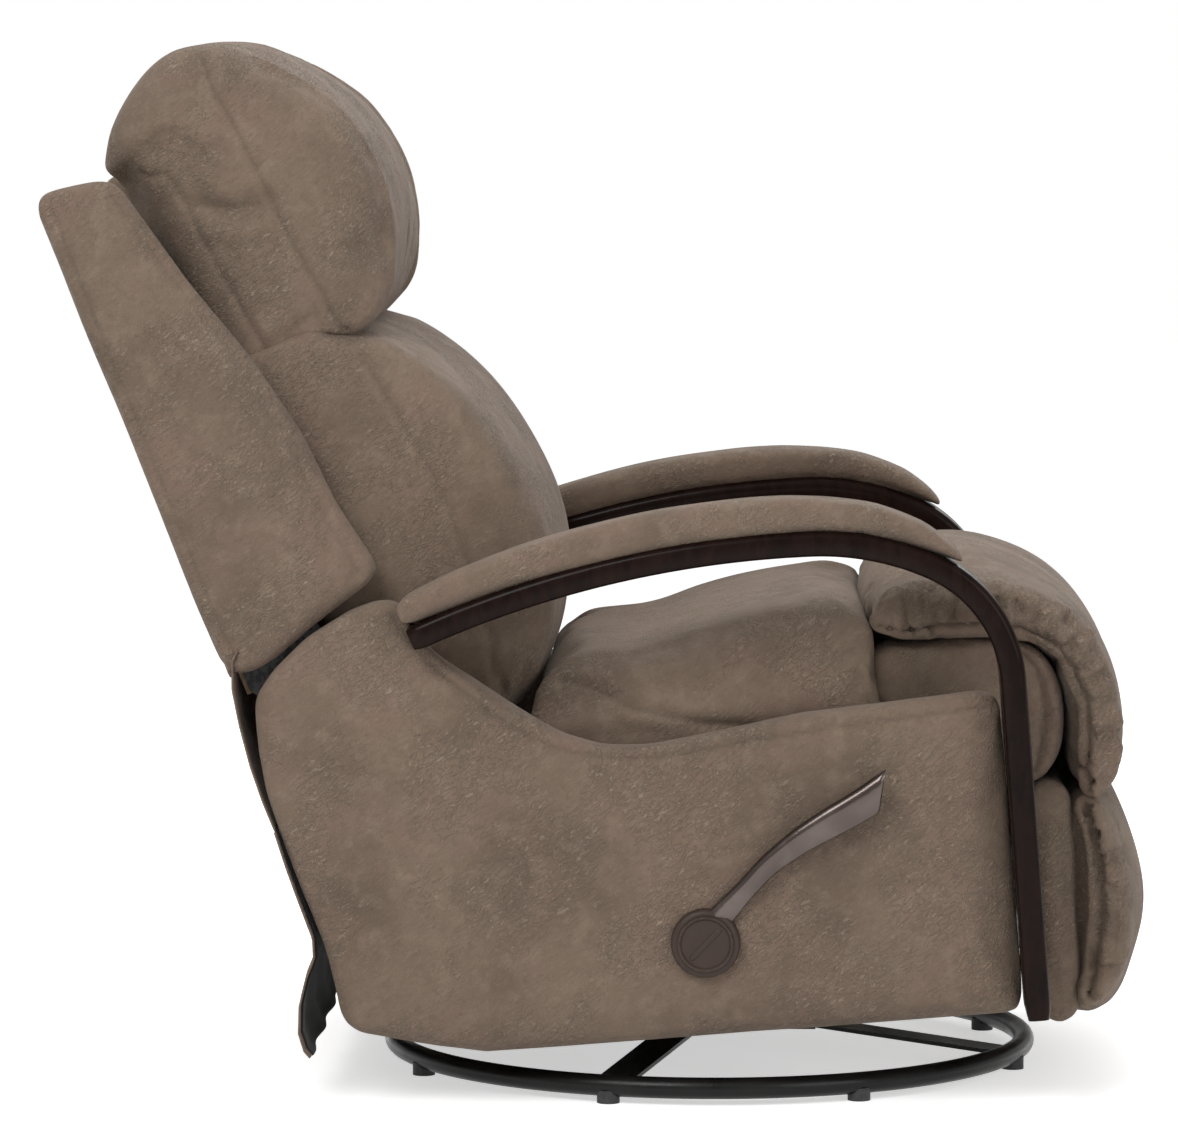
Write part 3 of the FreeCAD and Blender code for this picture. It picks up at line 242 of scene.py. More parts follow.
# Swivel, glider and footrest steelwork: plates pressed from flat strip, joined by headed pins.
# All of it is dipped in thin black paint, and the pins and races are bare, oiled steel.
strip_black = coated_finish("dipped_black_steel", (0.012, 0.012, 0.0125), (0.1, 0.098, 0.095), 0.8, 180.0,
                            0.55, 0.36, 0.0003, Specular_IOR_Level=0.35)
oiled_steel = coated_finish("oiled_bright_steel", (0.3, 0.29, 0.28), (0.5, 0.49, 0.48), 0.6, 700.0,
                            0.42, 0.24, 0.00008, Metallic=0.9)
dress_nodes(strip_black, "swivel_top_plate", "glider_cross_members", "glider_uprights",
            "front_glide_links", "rear_glide_links", "glide_rails", "back_hinge_plates", "back_brackets",
            "seat_guide_tracks", "footrest_mount_plates", "footrest_main_links", "footrest_front_links",
            "footrest_guide_links", "footrest_control_links", "footrest_brackets", "seat_slides", "drive_rod")
dress_nodes(oiled_steel, "swivel_pin", "swivel_bearing_lower", "swivel_bearing_upper",
            "glider_pivot_pins", "glide_rail_pins", "recline_pins", "footrest_mount_pins", "main_link_pins",
            "front_link_pins", "footrest_pins")


# Wooden frame: sawn rails and stiles of pale hardwood, glued and screwed, and never seen from outside.
# The boards are planed but not finished, so the grain and the pores show.
def make_wood_figure():
    # Long figure lines with pores, drawn out along one direction of the board.
    tree, given, result = start_effect("Wood Figure", [
        ("Early Colour", (0.5, 0.36, 0.22)), ("Late Colour", (0.36, 0.23, 0.13)), ("Lines", 60.0),
        ("Along X", 1.0), ("Along Z", 1.0), ("Contrast", 0.6)], ["Grain Colour", "Pores"])
    stretch = place(tree, "CombineXYZ")
    feed(tree, stretch.inputs[0], given.outputs["Along X"])
    feed(tree, stretch.inputs[1], 1.0)
    feed(tree, stretch.inputs[2], given.outputs["Along Z"])
    where = place(tree, "VectorMath", operation="MULTIPLY")
    feed(tree, where.inputs[0], object_place(tree))
    feed(tree, where.inputs[1], stretch.outputs[0])
    figure = cloudy(tree, where.outputs[0], given.outputs["Lines"], 4.0, 0.6)
    pores = cloudy(tree, where.outputs[0], 420.0, 2.0)
    share = reckoned(tree, "MULTIPLY", ramped(tree, figure, 0.35, 0.65), given.outputs["Contrast"])
    feed(tree, result.inputs["Grain Colour"],
         blended(tree, share, given.outputs["Early Colour"], given.outputs["Late Colour"]))
    feed(tree, result.inputs["Pores"], reckoned(tree, "ADD", pores, share))
    return tree


WOOD_FIGURE = make_wood_figure()
PALE_EARLY, PALE_LATE = (0.5, 0.36, 0.22), (0.34, 0.22, 0.12)


def board_finish(name, along_x):
    """Pale planed board. A low share along X draws the grain out across the chair."""
    finish, tree, shader = start_finish(name, Roughness=0.72)
    figure = place_effect(tree, WOOD_FIGURE, {
        "Early Colour": PALE_EARLY, "Late Colour": PALE_LATE, "Lines": 60.0, "Along X": along_x,
        "Along Z": 1.0, "Contrast": 0.7})
    feed(tree, shader.inputs["Base Color"], figure.outputs["Grain Colour"])
    raise_relief(tree, shader, figure.outputs["Pores"], 0.0006)
    return finish


cross_board = board_finish("pale_board_across", 0.08)
long_board = board_finish("pale_board_lengthways", 1.0)
dress_nodes(cross_board, "box_front_rail", "box_rear_rail", "seat_cross_rails", "back_rails",
            "footrest_board")
dress_nodes(long_board, "seat_side_rails", "back_stiles")


# Webbing: elastic straps woven from rubber thread and black polypropylene, stapled to the rails.
# Each strap shows its ribs and its picks, and dust has greyed it a little.
def make_webbing():
    finish, tree, shader = start_finish("ribbed_elastic_webbing", Roughness=0.85, Sheen_Weight=0.2)
    where = object_place(tree)
    ribs, picks = (place(tree, "TexWave", {"Vector": where, "Scale": scale, "Distortion": 0.4},
                         wave_type="BANDS", bands_direction=axis).outputs["Fac"]
                   for axis, scale in (("X", 260.0), ("Z", 190.0)))
    weave = reckoned(tree, "MULTIPLY", ribs, picks)
    dusty = cloudy(tree, where, 30.0, 4.0)
    dark = blended(tree, weave, (0.012, 0.012, 0.013), (0.05, 0.048, 0.046))
    feed(tree, shader.inputs["Base Color"],
         blended(tree, ramped(tree, dusty, 0.5, 0.8, 0.0, 0.3), dark, (0.12, 0.11, 0.1)))
    raise_relief(tree, shader, weave, 0.0006)
    return finish


dress_nodes(make_webbing(), "seat_webbing", "back_webbing")


# Taupe cover cloth: a brushed polyester knit that imitates nubuck, with a faint crinkled print.
# The nap is clouded lighter and darker by hands, and the crinkle print's lines are painted lighter in
# patches: a painted highlight where the pressed lines catch the light.
TAUPE, TAUPE_WARM = (0.19, 0.139, 0.101), (0.203, 0.136, 0.104)
TAUPE_DEEP, TAUPE_PALE, TAUPE_CRINKLE_HIGHLIGHT = (0.128, 0.092, 0.067), (0.26, 0.198, 0.145), (0.33, 0.258, 0.19)
THREAD_SHADOW = (0.045, 0.032, 0.024)
CRINKLE_TURN, CRINKLE_STRETCH = (0.66, 0.3, 0.35), (1.5, 1.0, 3.2)


def make_nubuck():
    # Clouds, palm marks and blots under lines that are drawn out along one turned direction; the lines are
    # painted lighter in patches, as a painted highlight.
    tree, given, result = start_effect("Nubuck Print", [
        ("Cloth Colour", TAUPE), ("Deep Colour", TAUPE_DEEP), ("Pale Colour", TAUPE_PALE),
        ("Warm Colour", TAUPE_WARM), ("Crinkle Highlight Colour", TAUPE_CRINKLE_HIGHLIGHT), ("Seam", 0.0)],
        ["Clouded Colour", "Nap Roughness", "Nap"])
    where = object_place(tree)
    clouds = cloudy(tree, where, 8.0, 8.0, 0.1)
    hands = cloudy(tree, where, 46.0, 7.0, 0.15)
    blots = cloudy(tree, where, 130.0, 4.0, 0.2)
    warmth = cloudy(tree, where, 13.0, 6.0, 0.1)
    fibres = cloudy(tree, where, 1000.0, 3.0)
    turned = place(tree, "VectorRotate", {"Vector": where}, rotation_type="EULER_XYZ")
    feed(tree, turned.inputs["Rotation"], CRINKLE_TURN)
    drawn = place(tree, "VectorMath", operation="MULTIPLY")
    feed(tree, drawn.inputs[0], turned.outputs[0])
    feed(tree, drawn.inputs[1], CRINKLE_STRETCH)
    waves = cloudy(tree, drawn.outputs[0], 92.0, 2.0, 0.8)
    away = reckoned(tree, "ABSOLUTE", reckoned(tree, "SUBTRACT", waves, 0.5), 0.0)
    lines = ramped(tree, away, 0.0, 0.07, 1.0, 0.0)
    patches = ramped(tree, cloudy(tree, where, 12.0, 5.0, 0.3), 0.44, 0.58, 0.25, 1.0)
    crinkle = reckoned(tree, "MULTIPLY", lines, patches)
    tone = given.outputs["Deep Colour"]
    # The last share paints the crinkle lines in the highlight colour: a painted highlight, not cloth colour.
    for share, label in (
            (ramped(tree, clouds, 0.3, 0.62), "Cloth Colour"),
            (ramped(tree, warmth, 0.45, 0.62, 0.0, 0.6), "Warm Colour"),
            (ramped(tree, hands, 0.48, 0.7, 0.0, 0.34), "Pale Colour"),
            (ramped(tree, blots, 0.5, 0.7, 0.0, 0.4), "Deep Colour"),
            (ramped(tree, fibres, 0.3, 0.7, 0.0, 0.3), "Deep Colour"),
            (reckoned(tree, "MULTIPLY", crinkle, 0.48), "Crinkle Highlight Colour")):
        tone = blended(tree, share, tone, given.outputs[label])
    # Seam grooves and pucker valleys are painted darker towards THREAD_SHADOW: painted shade.
    seam_shaded = blended(tree, reckoned(tree, "MULTIPLY", given.outputs["Seam"], 0.6), tone, THREAD_SHADOW)
    feed(tree, result.inputs["Clouded Colour"], seam_shaded)
    feed(tree, result.inputs["Nap Roughness"], ramped(tree, hands, 0.3, 0.7, 0.92, 0.78))
    relief = reckoned(tree, "MULTIPLY", fibres, 0.25)
    for source, weight in ((crinkle, 1.5), (blots, 0.4)):
        relief = reckoned(tree, "ADD", relief, reckoned(tree, "MULTIPLY", source, weight))
    feed(tree, result.inputs["Nap"], relief)
    return tree


taupe_cloth, cloth_tree, cloth_shader = start_finish(
    "taupe_nubuck_cloth", Sheen_Weight=0.16, Sheen_Roughness=0.45, Specular_IOR_Level=0.22)
feed(cloth_tree, cloth_shader.inputs["Sheen Tint"], (0.95, 0.86, 0.78))
seam_mark = place(cloth_tree, "Attribute", attribute_name="seam")
nap = place_effect(cloth_tree, make_nubuck(), {"Seam": seam_mark.outputs["Fac"]})
feed(cloth_tree, cloth_shader.inputs["Base Color"], nap.outputs["Clouded Colour"])
feed(cloth_tree, cloth_shader.inputs["Roughness"], nap.outputs["Nap Roughness"])
raise_relief(cloth_tree, cloth_shader, nap.outputs["Nap"], 0.0007)


# Side panels: plywood sides padded with thin foam and wrapped in the cover cloth.
# A border strip runs over the top edge, joined to the outer face by a plain seam.
BOX_TILT = math.radians(4.6)
BACK_LEAN = math.radians(21.8)
PANEL_INSIDE, PANEL_OUTSIDE = 290, 345


def on_box(side, depth, height):
    """A point of the tipped seat box, given in millimetres, in the chair's metres."""
    y = -depth * math.cos(BOX_TILT) + height * math.sin(BOX_TILT)
    z = depth * math.sin(BOX_TILT) + height * math.cos(BOX_TILT)
    return Vector((side / 1000, SWIVEL_BACK + y / 1000, z / 1000))


def box_line(side, spots):
    return [on_box(side, depth, height) for depth, height in spots]


RECLINE_PIVOT = on_box(0, -236, 310)


def on_back(side, forward, up):
    """A point of the leaning back, given in millimetres from the recline pivot."""
    y = -forward * math.cos(BACK_LEAN) + up * math.sin(BACK_LEAN)
    z = forward * math.sin(BACK_LEAN) + up * math.cos(BACK_LEAN)
    return RECLINE_PIVOT + Vector((side / 1000, y / 1000, z / 1000))


def back_line(side, spots):
    return [on_back(side, forward, up) for forward, up in spots]


def even_ring(spots, count, spline=True):
    """A closed line through the spots, divided into equal steps."""
    spots = np.array(spots, float)
    if spline:
        dense = []
        for index in range(len(spots)):
            a, b, c, d = (spots[(index + shift) % len(spots)] for shift in (-1, 0, 1, 2))
            for t in np.linspace(0, 1, 12, endpoint=False):
                dense.append(0.5 * (2 * b + (c - a) * t + (2 * a - 5 * b + 4 * c - d) * t ** 2
                                    + (3 * b - a - 3 * c + d) * t ** 3))
        spots = np.array(dense)
    loop = np.vstack([spots, spots[:1]])
    run = np.concatenate([[0], np.cumsum(np.linalg.norm(np.diff(loop, axis=0), axis=1))])
    stops = np.linspace(0, run[-1], count, endpoint=False)
    return np.stack([np.interp(stops, run, loop[:, k]) for k in range(loop.shape[1])], 1)


def drawn_in(ring, inset):
    """The ring moved inwards by the inset, square to its own line."""
    along = np.roll(ring, -1, 0) - np.roll(ring, 1, 0)
    along /= np.linalg.norm(along, axis=1, keepdims=True) + 1e-9
    area = np.sum(ring[:, 0] * np.roll(ring[:, 1], -1) - np.roll(ring[:, 0], -1) * ring[:, 1])
    inward = np.stack([-along[:, 1], along[:, 0]], 1) * (1 if area > 0 else -1)
    return ring + inward * inset


def points_of(piece):
    spots = np.empty(len(piece.data.vertices) * 3, np.float32)
    piece.data.vertices.foreach_get("co", spots)
    return spots.reshape(-1, 3).astype(float)


def move_points(piece, spots):
    piece.data.vertices.foreach_set("co", np.asarray(spots, np.float32).ravel())
    piece.data.update()


def fix_modifiers(piece):
    bpy.context.view_layer.update()
    built = bpy.data.meshes.new_from_object(piece.evaluated_get(bpy.context.evaluated_depsgraph_get()))
    piece.modifiers.clear()
    piece.data = built


def relaxed(piece, rounds, share=0.5):
    """Smooths a mesh by moving each point towards the middle of its neighbours."""
    edges = np.empty(len(piece.data.edges) * 2, np.int32)
    piece.data.edges.foreach_get("vertices", edges)
    edges = edges.reshape(-1, 2)
    spots = points_of(piece)
    number = np.bincount(edges.ravel(), minlength=len(spots))[:, None]
    for _ in range(rounds):
        total = np.zeros_like(spots)
        for axis in range(3):
            total[:, axis] = (np.bincount(edges[:, 0], spots[edges[:, 1], axis], len(spots))
                              + np.bincount(edges[:, 1], spots[edges[:, 0], axis], len(spots)))
        spots += share * (total / number - spots)
    move_points(piece, spots)


COVER_STIFFNESS, COVER_FRAMES = 15.0, 20


def stuff(piece, voxel, cap, pressure=4.0, slack=0.0, held=None, rounds=3):
    """Turns a closed form into an even cloth cover and blows it up over its filling, up to the cap."""
    remesh = piece.modifiers.new("even_cover", "REMESH")
    remesh.mode = "VOXEL"
    remesh.voxel_size = voxel
    fix_modifiers(piece)
    relaxed(piece, rounds)
    rest = points_of(piece)
    cloth = piece.modifiers.new("cover", "CLOTH")
    setting = cloth.settings
    setting.quality = 4
    setting.mass = 0.3
    setting.tension_stiffness = COVER_STIFFNESS
    setting.compression_stiffness = COVER_STIFFNESS
    setting.shear_stiffness = COVER_STIFFNESS / 3
    setting.bending_stiffness = 0.4
    setting.use_pressure = True
    setting.uniform_pressure_force = pressure
    setting.shrink_min = -slack
    setting.effector_weights.gravity = 0.0
    cloth.collision_settings.use_collision = False
    if held is not None:
        group = piece.vertex_groups.new(name="held")
        for index, spot in enumerate(rest):
            weight = held(spot)
            if weight > 0:
                group.add([index], weight, "REPLACE")
        setting.vertex_group_mass = "held"
        setting.pin_stiffness = 1.0
    cloth.point_cache.frame_start, cloth.point_cache.frame_end = 1, COVER_FRAMES
    scene = bpy.context.scene
    for number in range(1, COVER_FRAMES + 1):
        scene.frame_set(number)
    fix_modifiers(piece)
    piece.vertex_groups.clear()
    scene.frame_set(1)
    shift = points_of(piece) - rest
    length = np.linalg.norm(shift, axis=1, keepdims=True) + 1e-9
    kept = cap * np.tanh(length / cap)
    move_points(piece, rest + shift / length * kept)
    return piece


def finer(piece):
    subdivide = piece.modifiers.new("finer", "SUBSURF")
    subdivide.levels = subdivide.render_levels = 1
    fix_modifiers(piece)


def normals_of(piece):
    values = np.empty(len(piece.data.vertices) * 3, np.float32)
    piece.data.vertex_normals.foreach_get("vector", values)
    return values.reshape(-1, 3).astype(float)


SEAM_STEP = 0.002


def laid_on(piece, spots):
    """A line of close points on the piece's surface, under the given spots."""
    tree = BVHTree.FromObject(piece, bpy.context.evaluated_depsgraph_get())
    spots = [Vector(spot) for spot in spots]
    line = []
    for first, second in zip(spots, spots[1:]):
        number = max(2, int((second - first).length / SEAM_STEP))
        line += [first.lerp(second, k / number) for k in range(number)]
    line.append(spots[-1])
    found = [tree.find_nearest(spot)[0] for spot in line]
    return np.array([tuple(spot) for spot in found])


def nearest_on(line, spots, reach):
    """For each spot within reach of the line: its distance and how far along the line it is."""
    run = np.concatenate([[0], np.cumsum(np.linalg.norm(np.diff(line, axis=0), axis=1))])
    low, high = line.min(0) - reach, line.max(0) + reach
    close = np.where(np.all((spots > low) & (spots < high), axis=1))[0]
    if not len(close):
        return close, np.zeros(0), np.zeros(0), np.zeros((0, 3))
    best = np.full(len(close), 1e9)
    place_at = np.zeros(len(close), int)
    batch = 64
    for start in range(0, len(line), batch):
        part = line[start:start + batch]
        apart = ((spots[close][:, None, :] - part[None]) ** 2).sum(2)
        nearest = apart.argmin(1)
        value = apart[np.arange(len(close)), nearest]
        better = value < best
        best[better], place_at[better] = value[better], nearest[better] + start
    gap = np.sqrt(best)
    keep = gap < reach
    close, gap, place_at = close[keep], gap[keep], place_at[keep]
    return close, gap, run[place_at], spots[close] - line[place_at]


# Stores how strongly the cloth is painted darker at a seam groove or pucker valley: painted shade.
def mark_seam(piece, close, strength):
    layer = piece.data.attributes.get("seam") or piece.data.attributes.new("seam", "FLOAT", "POINT")
    values = np.zeros(len(piece.data.vertices), np.float32)
    layer.data.foreach_get("value", values)
    values[close] = np.maximum(values[close], strength)
    layer.data.foreach_set("value", values.astype(np.float32))


def sew(piece, spots, depth=0.0025, width=0.004, shoulder=0.5, seam=1.0):
    """Sinks a seam or a fold along the spots, with a swell on each side of it."""
    line = laid_on(piece, spots)
    co, normal = points_of(piece), normals_of(piece)
    close, gap, run, _ = nearest_on(line, co, width * 6)
    total = run.max() if len(run) else 1.0
    ends = np.clip(np.minimum(run, total - run) / (width * 5), 0, 1) if seam <= 0 else 1.0
    valley = -np.exp(-(gap / width) ** 2) + shoulder * np.exp(-((gap - 2.6 * width) / (1.4 * width)) ** 2)
    co[close] += normal[close] * (valley * depth * ends)[:, None]
    move_points(piece, co)
    if seam > 0:
        # Seams, not folds, get painted shade along their groove.
        mark_seam(piece, close, seam * np.exp(-(gap / 0.0021) ** 2))


def gather(piece, spots, towards, number, reach, depth, width=0.006, seed=1):
    """Puckers that run square from a gathered seam, to one side of it."""
    line = laid_on(piece, spots)
    co, normal = points_of(piece), normals_of(piece)
    close, gap, run, offset = nearest_on(line, co, reach * 1.6)
    if not len(close):
        return
    chance = np.random.default_rng(seed)
    total = run.max()
    side = (offset @ np.array(towards, float)) > 0
    push = np.zeros(len(close))
    for index in range(number):
        middle = total * (index + 0.5 + chance.uniform(-0.42, 0.42)) / number
        slant = chance.uniform(-0.35, 0.35)
        long = reach * chance.uniform(0.45, 1.1)
        deep = depth * chance.uniform(0.4, 1.1)
        wide = width * chance.uniform(0.7, 1.3)
        across = run - middle - slant * gap
        fade = np.clip(1 - gap / long, 0, 1) ** 1.1 * np.clip(gap / 0.004, 0, 1)
        swell = 0.45 * np.exp(-((np.abs(across) - 1.7 * wide) / wide) ** 2)
        push += deep * fade * (swell - np.exp(-(across / wide) ** 2))
    co[close] += normal[close] * (push * side)[:, None]
    move_points(piece, co)
    # The pucker valleys are painted darker as well: painted shade.
    mark_seam(piece, close, 0.3 * np.clip(-push / depth, 0, 1) * side)


def rumple(piece, height, scale, seed):
    """Slow unevenness of the filling."""
    co, normal = points_of(piece), normals_of(piece)
    shift = Vector((seed, seed * 0.7, seed * 1.3))
    swell = np.array([noise.noise(Vector(spot) * scale + shift) for spot in co])
    move_points(piece, co + normal * (swell * height)[:, None])


def other_side(piece, name):
    """The same piece for the other side of the chair."""
    twin = piece.copy()
    twin.data = piece.data.copy()
    twin.name = twin.data.name = name
    bpy.context.scene.collection.objects.link(twin)
    co = points_of(twin)
    co[:, 0] *= -1
    move_points(twin, co)
    twin.data.flip_normals()
    return twin


PANEL_EDGE = [(-206, 67.5), (-100, 67.5), (50, 67.5), (200, 67.5), (300, 67.5), (308, 76), (308, 200),
              (308, 366), (304, 376), (294, 380), (200, 374.5), (117, 371), (60, 363), (21, 358),
              (-27, 352), (-70, 354), (-110, 369), (-150, 397), (-191, 429), (-213, 445), (-228, 458),
              (-239, 480), (-252, 505), (-268, 510), (-300, 502), (-345, 479), (-380, 450), (-400, 424),
              (-399, 380), (-396, 332), (-374, 250), (-352, 182), (-345, 138), (-343, 112), (-332, 98),
              (-262, 80)]
panel_ring = even_ring(PANEL_EDGE, 260, spline=False)
panel_rings = []
for side, inset in ((PANEL_INSIDE + 1, 5), (PANEL_INSIDE + 4, 2), (PANEL_INSIDE + 12, 1),
                    (PANEL_OUTSIDE - 13, 1), (PANEL_OUTSIDE - 7, 2), (PANEL_OUTSIDE - 3, 5),
                    (PANEL_OUTSIDE - 1, 9)):
    panel_rings.append(box_line(-side, drawn_in(panel_ring, inset)))
right_panel = skin_over("side_panel_cover_right", panel_rings)
stuff(right_panel, 0.0065, 0.005, pressure=1.2, held=lambda spot: 1.0 if spot[0] > -0.325 else 0.0, rounds=4)
finer(right_panel)
BORDER_SEAM = [(-258, 496), (-255, 488), (-233, 457), (-208, 428), (-176, 399), (-156, 383), (-125, 364),
               (-97, 353), (-57, 345), (-15, 344), (21, 346), (80, 352), (155, 358), (194, 361), (252, 365),
               (305, 367)]
sew(right_panel, box_line(-PANEL_OUTSIDE, BORDER_SEAM), 0.0018, 0.0035, 0.6, seam=0.4)
rumple(right_panel, 0.0012, 9.0, 3.1)
left_panel = other_side(right_panel, "side_panel_cover_left")
for panel, node in ((right_panel, "side_panel_right"), (left_panel, "side_panel_left")):
    dress(panel, taupe_cloth)
    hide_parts(node)
    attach(panel, "seat_box")


# Arm rails: twelve thin layers of beech, glued and bent round a form in one sweep from post to back.
# They are stained espresso brown under a semi-gloss lacquer, with the edges rounded over.
RAIL_MIDDLE, RAIL_WIDTH, RAIL_THICK, RAIL_CORNER = 350, 64, 24, 7
PANEL_FRONT, PANEL_BOTTOM, POST_TOP = 308, 67.5, 391
RAIL_BENDS = [(128, 62.0), (260, 26.0), (1000, 22.3)]


RAIL_STEP = 6.0


def rail_line():
    """Points and headings along the middle of the bent rail."""
    spots = []
    depth = PANEL_FRONT + RAIL_THICK / 2
    for height in np.linspace(PANEL_BOTTOM, POST_TOP, 40):
        spots.append((depth, height, math.pi / 2))
    here, heading = (depth, POST_TOP), math.pi / 2
    for radius, degrees in RAIL_BENDS:
        turn = math.radians(degrees)
        centre = (here[0] - radius * math.sin(heading), here[1] + radius * math.cos(heading))
        number = max(12, int(radius * turn / RAIL_STEP))
        for k in range(1, number + 1):
            angle = heading - math.pi / 2 + turn * k / number
            spots.append((centre[0] + radius * math.cos(angle), centre[1] + radius * math.sin(angle),
                          heading + turn * k / number))
        here, heading = spots[-1][:2], heading + turn
    return spots


def rail_section():
    """Points round the rail, as across and outward. The corners are arcs."""
    ring, steps = [], 5
    for sign_w, sign_t, first in ((1, 1, 0), (-1, 1, 90), (-1, -1, 180), (1, -1, 270)):
        for k in range(steps + 1):
            angle = math.radians(first + 90 * k / steps)
            ring.append((sign_w * (RAIL_WIDTH / 2 - RAIL_CORNER) + RAIL_CORNER * math.cos(angle),
                         sign_t * (RAIL_THICK / 2 - RAIL_CORNER) + RAIL_CORNER * math.sin(angle)))
    return ring


rail_path = rail_line()
section = rail_section()
rail_rings = []
# The end grain is eased: the last two rings at each end are drawn in.
eased = {0: 2.5, 1: 0.6, len(rail_path) - 2: 0.6, len(rail_path) - 1: 2.5}
for index, (depth, height, heading) in enumerate(rail_path):
    narrow, tight = 1 - eased.get(index, 0) / 34, 1 - eased.get(index, 0) / 14
    ring = []
    for wide, deep in section:
        out = (math.sin(heading), -math.cos(heading))
        ring.append(on_box(-RAIL_MIDDLE - wide * narrow, depth + out[0] * deep * tight,
                           height + out[1] * deep * tight))
    rail_rings.append(ring)
right_rail = skin_over("bent_arm_rail_right", rail_rings)
lacquer, lacquer_tree, lacquer_shader = start_finish("espresso_lacquer", Roughness=0.3, Coat_Weight=0.06,
                                                     Coat_Roughness=0.05, Specular_IOR_Level=0.05)
grain = place_effect(lacquer_tree, WOOD_FIGURE, {
    "Early Colour": (0.0125, 0.0058, 0.0042), "Late Colour": (0.0055, 0.0028, 0.0022), "Lines": 95.0,
    "Along X": 1.0, "Along Z": 0.35, "Contrast": 0.8})
rub = place_effect(lacquer_tree, COAT_WEAR, {
    "Coat Colour": grain.outputs["Grain Colour"], "Rubbed Colour": (0.035, 0.016, 0.011), "Rubbing": 0.3,
    "Peel Scale": 120.0, "Dull": 0.34, "Glossy": 0.2})
feed(lacquer_tree, lacquer_shader.inputs["Base Color"], rub.outputs["Worn Colour"])
feed(lacquer_tree, lacquer_shader.inputs["Roughness"], rub.outputs["Sheen Loss"])
raise_relief(lacquer_tree, lacquer_shader, rub.outputs["Peel"], 0.0002)
left_rail = other_side(right_rail, "bent_arm_rail_left")
for rail, node in ((right_rail, "arm_rail_right"), (left_rail, "arm_rail_left")):
    dress(rail, lacquer)
    sharp_edges(rail, 0.9)
    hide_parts(node)
    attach(rail, "seat_box")


# Arm pads: a strip of foam on the top of each rail, upholstered in the cover cloth.
# The cloth is pulled under the pad and stapled, and the front end tapers to a rounded nose.
PAD_HALF = 40
rail_top = [(depth + math.sin(heading) * RAIL_THICK / 2, height - math.cos(heading) * RAIL_THICK / 2, heading)
            for depth, height, heading in rail_path]
PAD_START = math.radians(140.5)
under = [spot for spot in rail_top if spot[2] > PAD_START]
PAD_SHARES = (0.0, 0.03, 0.08, 0.16, 0.3, 0.5, 0.7, 0.9, 0.98, 1.0)
PAD_THICKNESS = (4, 11, 19, 26, 30, 31, 30, 27, 24, 19)
PAD_OFF_RAIL = 0.6


def squared(value, power):
    """A cosine or sine that is drawn towards the corners."""
    return math.copysign(abs(value) ** power, value)


pad_rings = []
for index, (depth, height, heading) in enumerate(under):
    share = index / (len(under) - 1)
    thick = float(np.interp(share, PAD_SHARES, PAD_THICKNESS))
    nose = 1 - 0.35 * max(0.0, 1 - share / 0.06) ** 2
    ring = []
    for k in range(28):
        angle = math.tau * k / 28
        wide = squared(math.cos(angle), 0.45) * (PAD_HALF - 2) * nose
        rise = squared(math.sin(angle), 0.6) * thick / 2 + thick / 2 + PAD_OFF_RAIL
        ring.append(on_box(-RAIL_MIDDLE - wide, depth + math.sin(heading) * rise,
                           height - math.cos(heading) * rise))
    pad_rings.append(ring)
right_pad = skin_over("arm_pad_cover_right", pad_rings)
stuff(right_pad, 0.004, 0.004, pressure=2.0, rounds=2)
finer(right_pad)
rumple(right_pad, 0.0012, 14.0, 5.0)
left_pad = other_side(right_pad, "arm_pad_cover_left")
for pad, node in ((right_pad, "arm_pad_right"), (left_pad, "arm_pad_left")):
    dress(pad, taupe_cloth)
    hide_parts(node)
    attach(pad, "seat_box")


# Seat cushion: a block of foam with fibre wrap in a boxed cover, resting on the webbing.
# Its front is sewn down into the crease where the footrest pad begins.
def soft_form(name, half, ring_at, place_at, corner, crown, count=110, anchor=None):
    """A closed form across the chair. ring_at gives its line at each share of the half width.
    The line is drawn in towards both sides, except where the anchor holds it to its neighbour."""
    rings, steps = [], 13
    rounding = [(half - corner + corner * math.sin(math.pi / 2 * k / steps),
                 corner * (1 - math.cos(math.pi / 2 * k / steps))) for k in range(1, steps + 1)]
    sides = [(-far, inset) for far, inset in reversed(rounding)]
    sides += [(stop, 0.0) for stop in np.linspace(-1, 1, 25) * (half - corner)]
    sides += rounding
    for side, inset in sides:
        share = side / half
        whole = ring_at(abs(share), count)
        ring = drawn_in(whole, inset * 0.92 + crown * share * share)
        if anchor:
            ring += (whole - ring) * anchor(whole)
        rings.append([place_at(side, a, b) for a, b in ring])
    return skin_over(name, rings)


def ring_between(middle, edge, turn, count):
    return even_ring(np.array(middle, float) * (1 - turn) + np.array(edge, float) * turn, count)


SEAT_MIDDLE = [(193, 374), (195, 410), (196, 438), (193, 456), (176, 466), (120, 461), (70, 454), (20, 444),
               (-30, 432), (-96, 431), (-130, 420), (-140, 398), (-138, 374), (0, 372), (100, 372)]
SEAT_SIDE = [(195, 340), (197, 400), (198, 434), (194, 452), (176, 464), (120, 461), (70, 454), (20, 445),
             (-30, 436), (-96, 430), (-130, 416), (-142, 390), (-142, 340), (0, 338), (100, 338)]


def seat_ring(share, count):
    return ring_between(SEAT_MIDDLE, SEAT_SIDE, 1.0 if share > 0.93 else 0.0, count)


def seat_anchor(ring):
    # The ends stay against the crease and the lumbar cushion, and the sides go straight down.
    height = np.clip((438 - ring[:, 1]) / 35, 0, 1)
    return np.stack([np.full(len(ring), 0.85), height], 1)


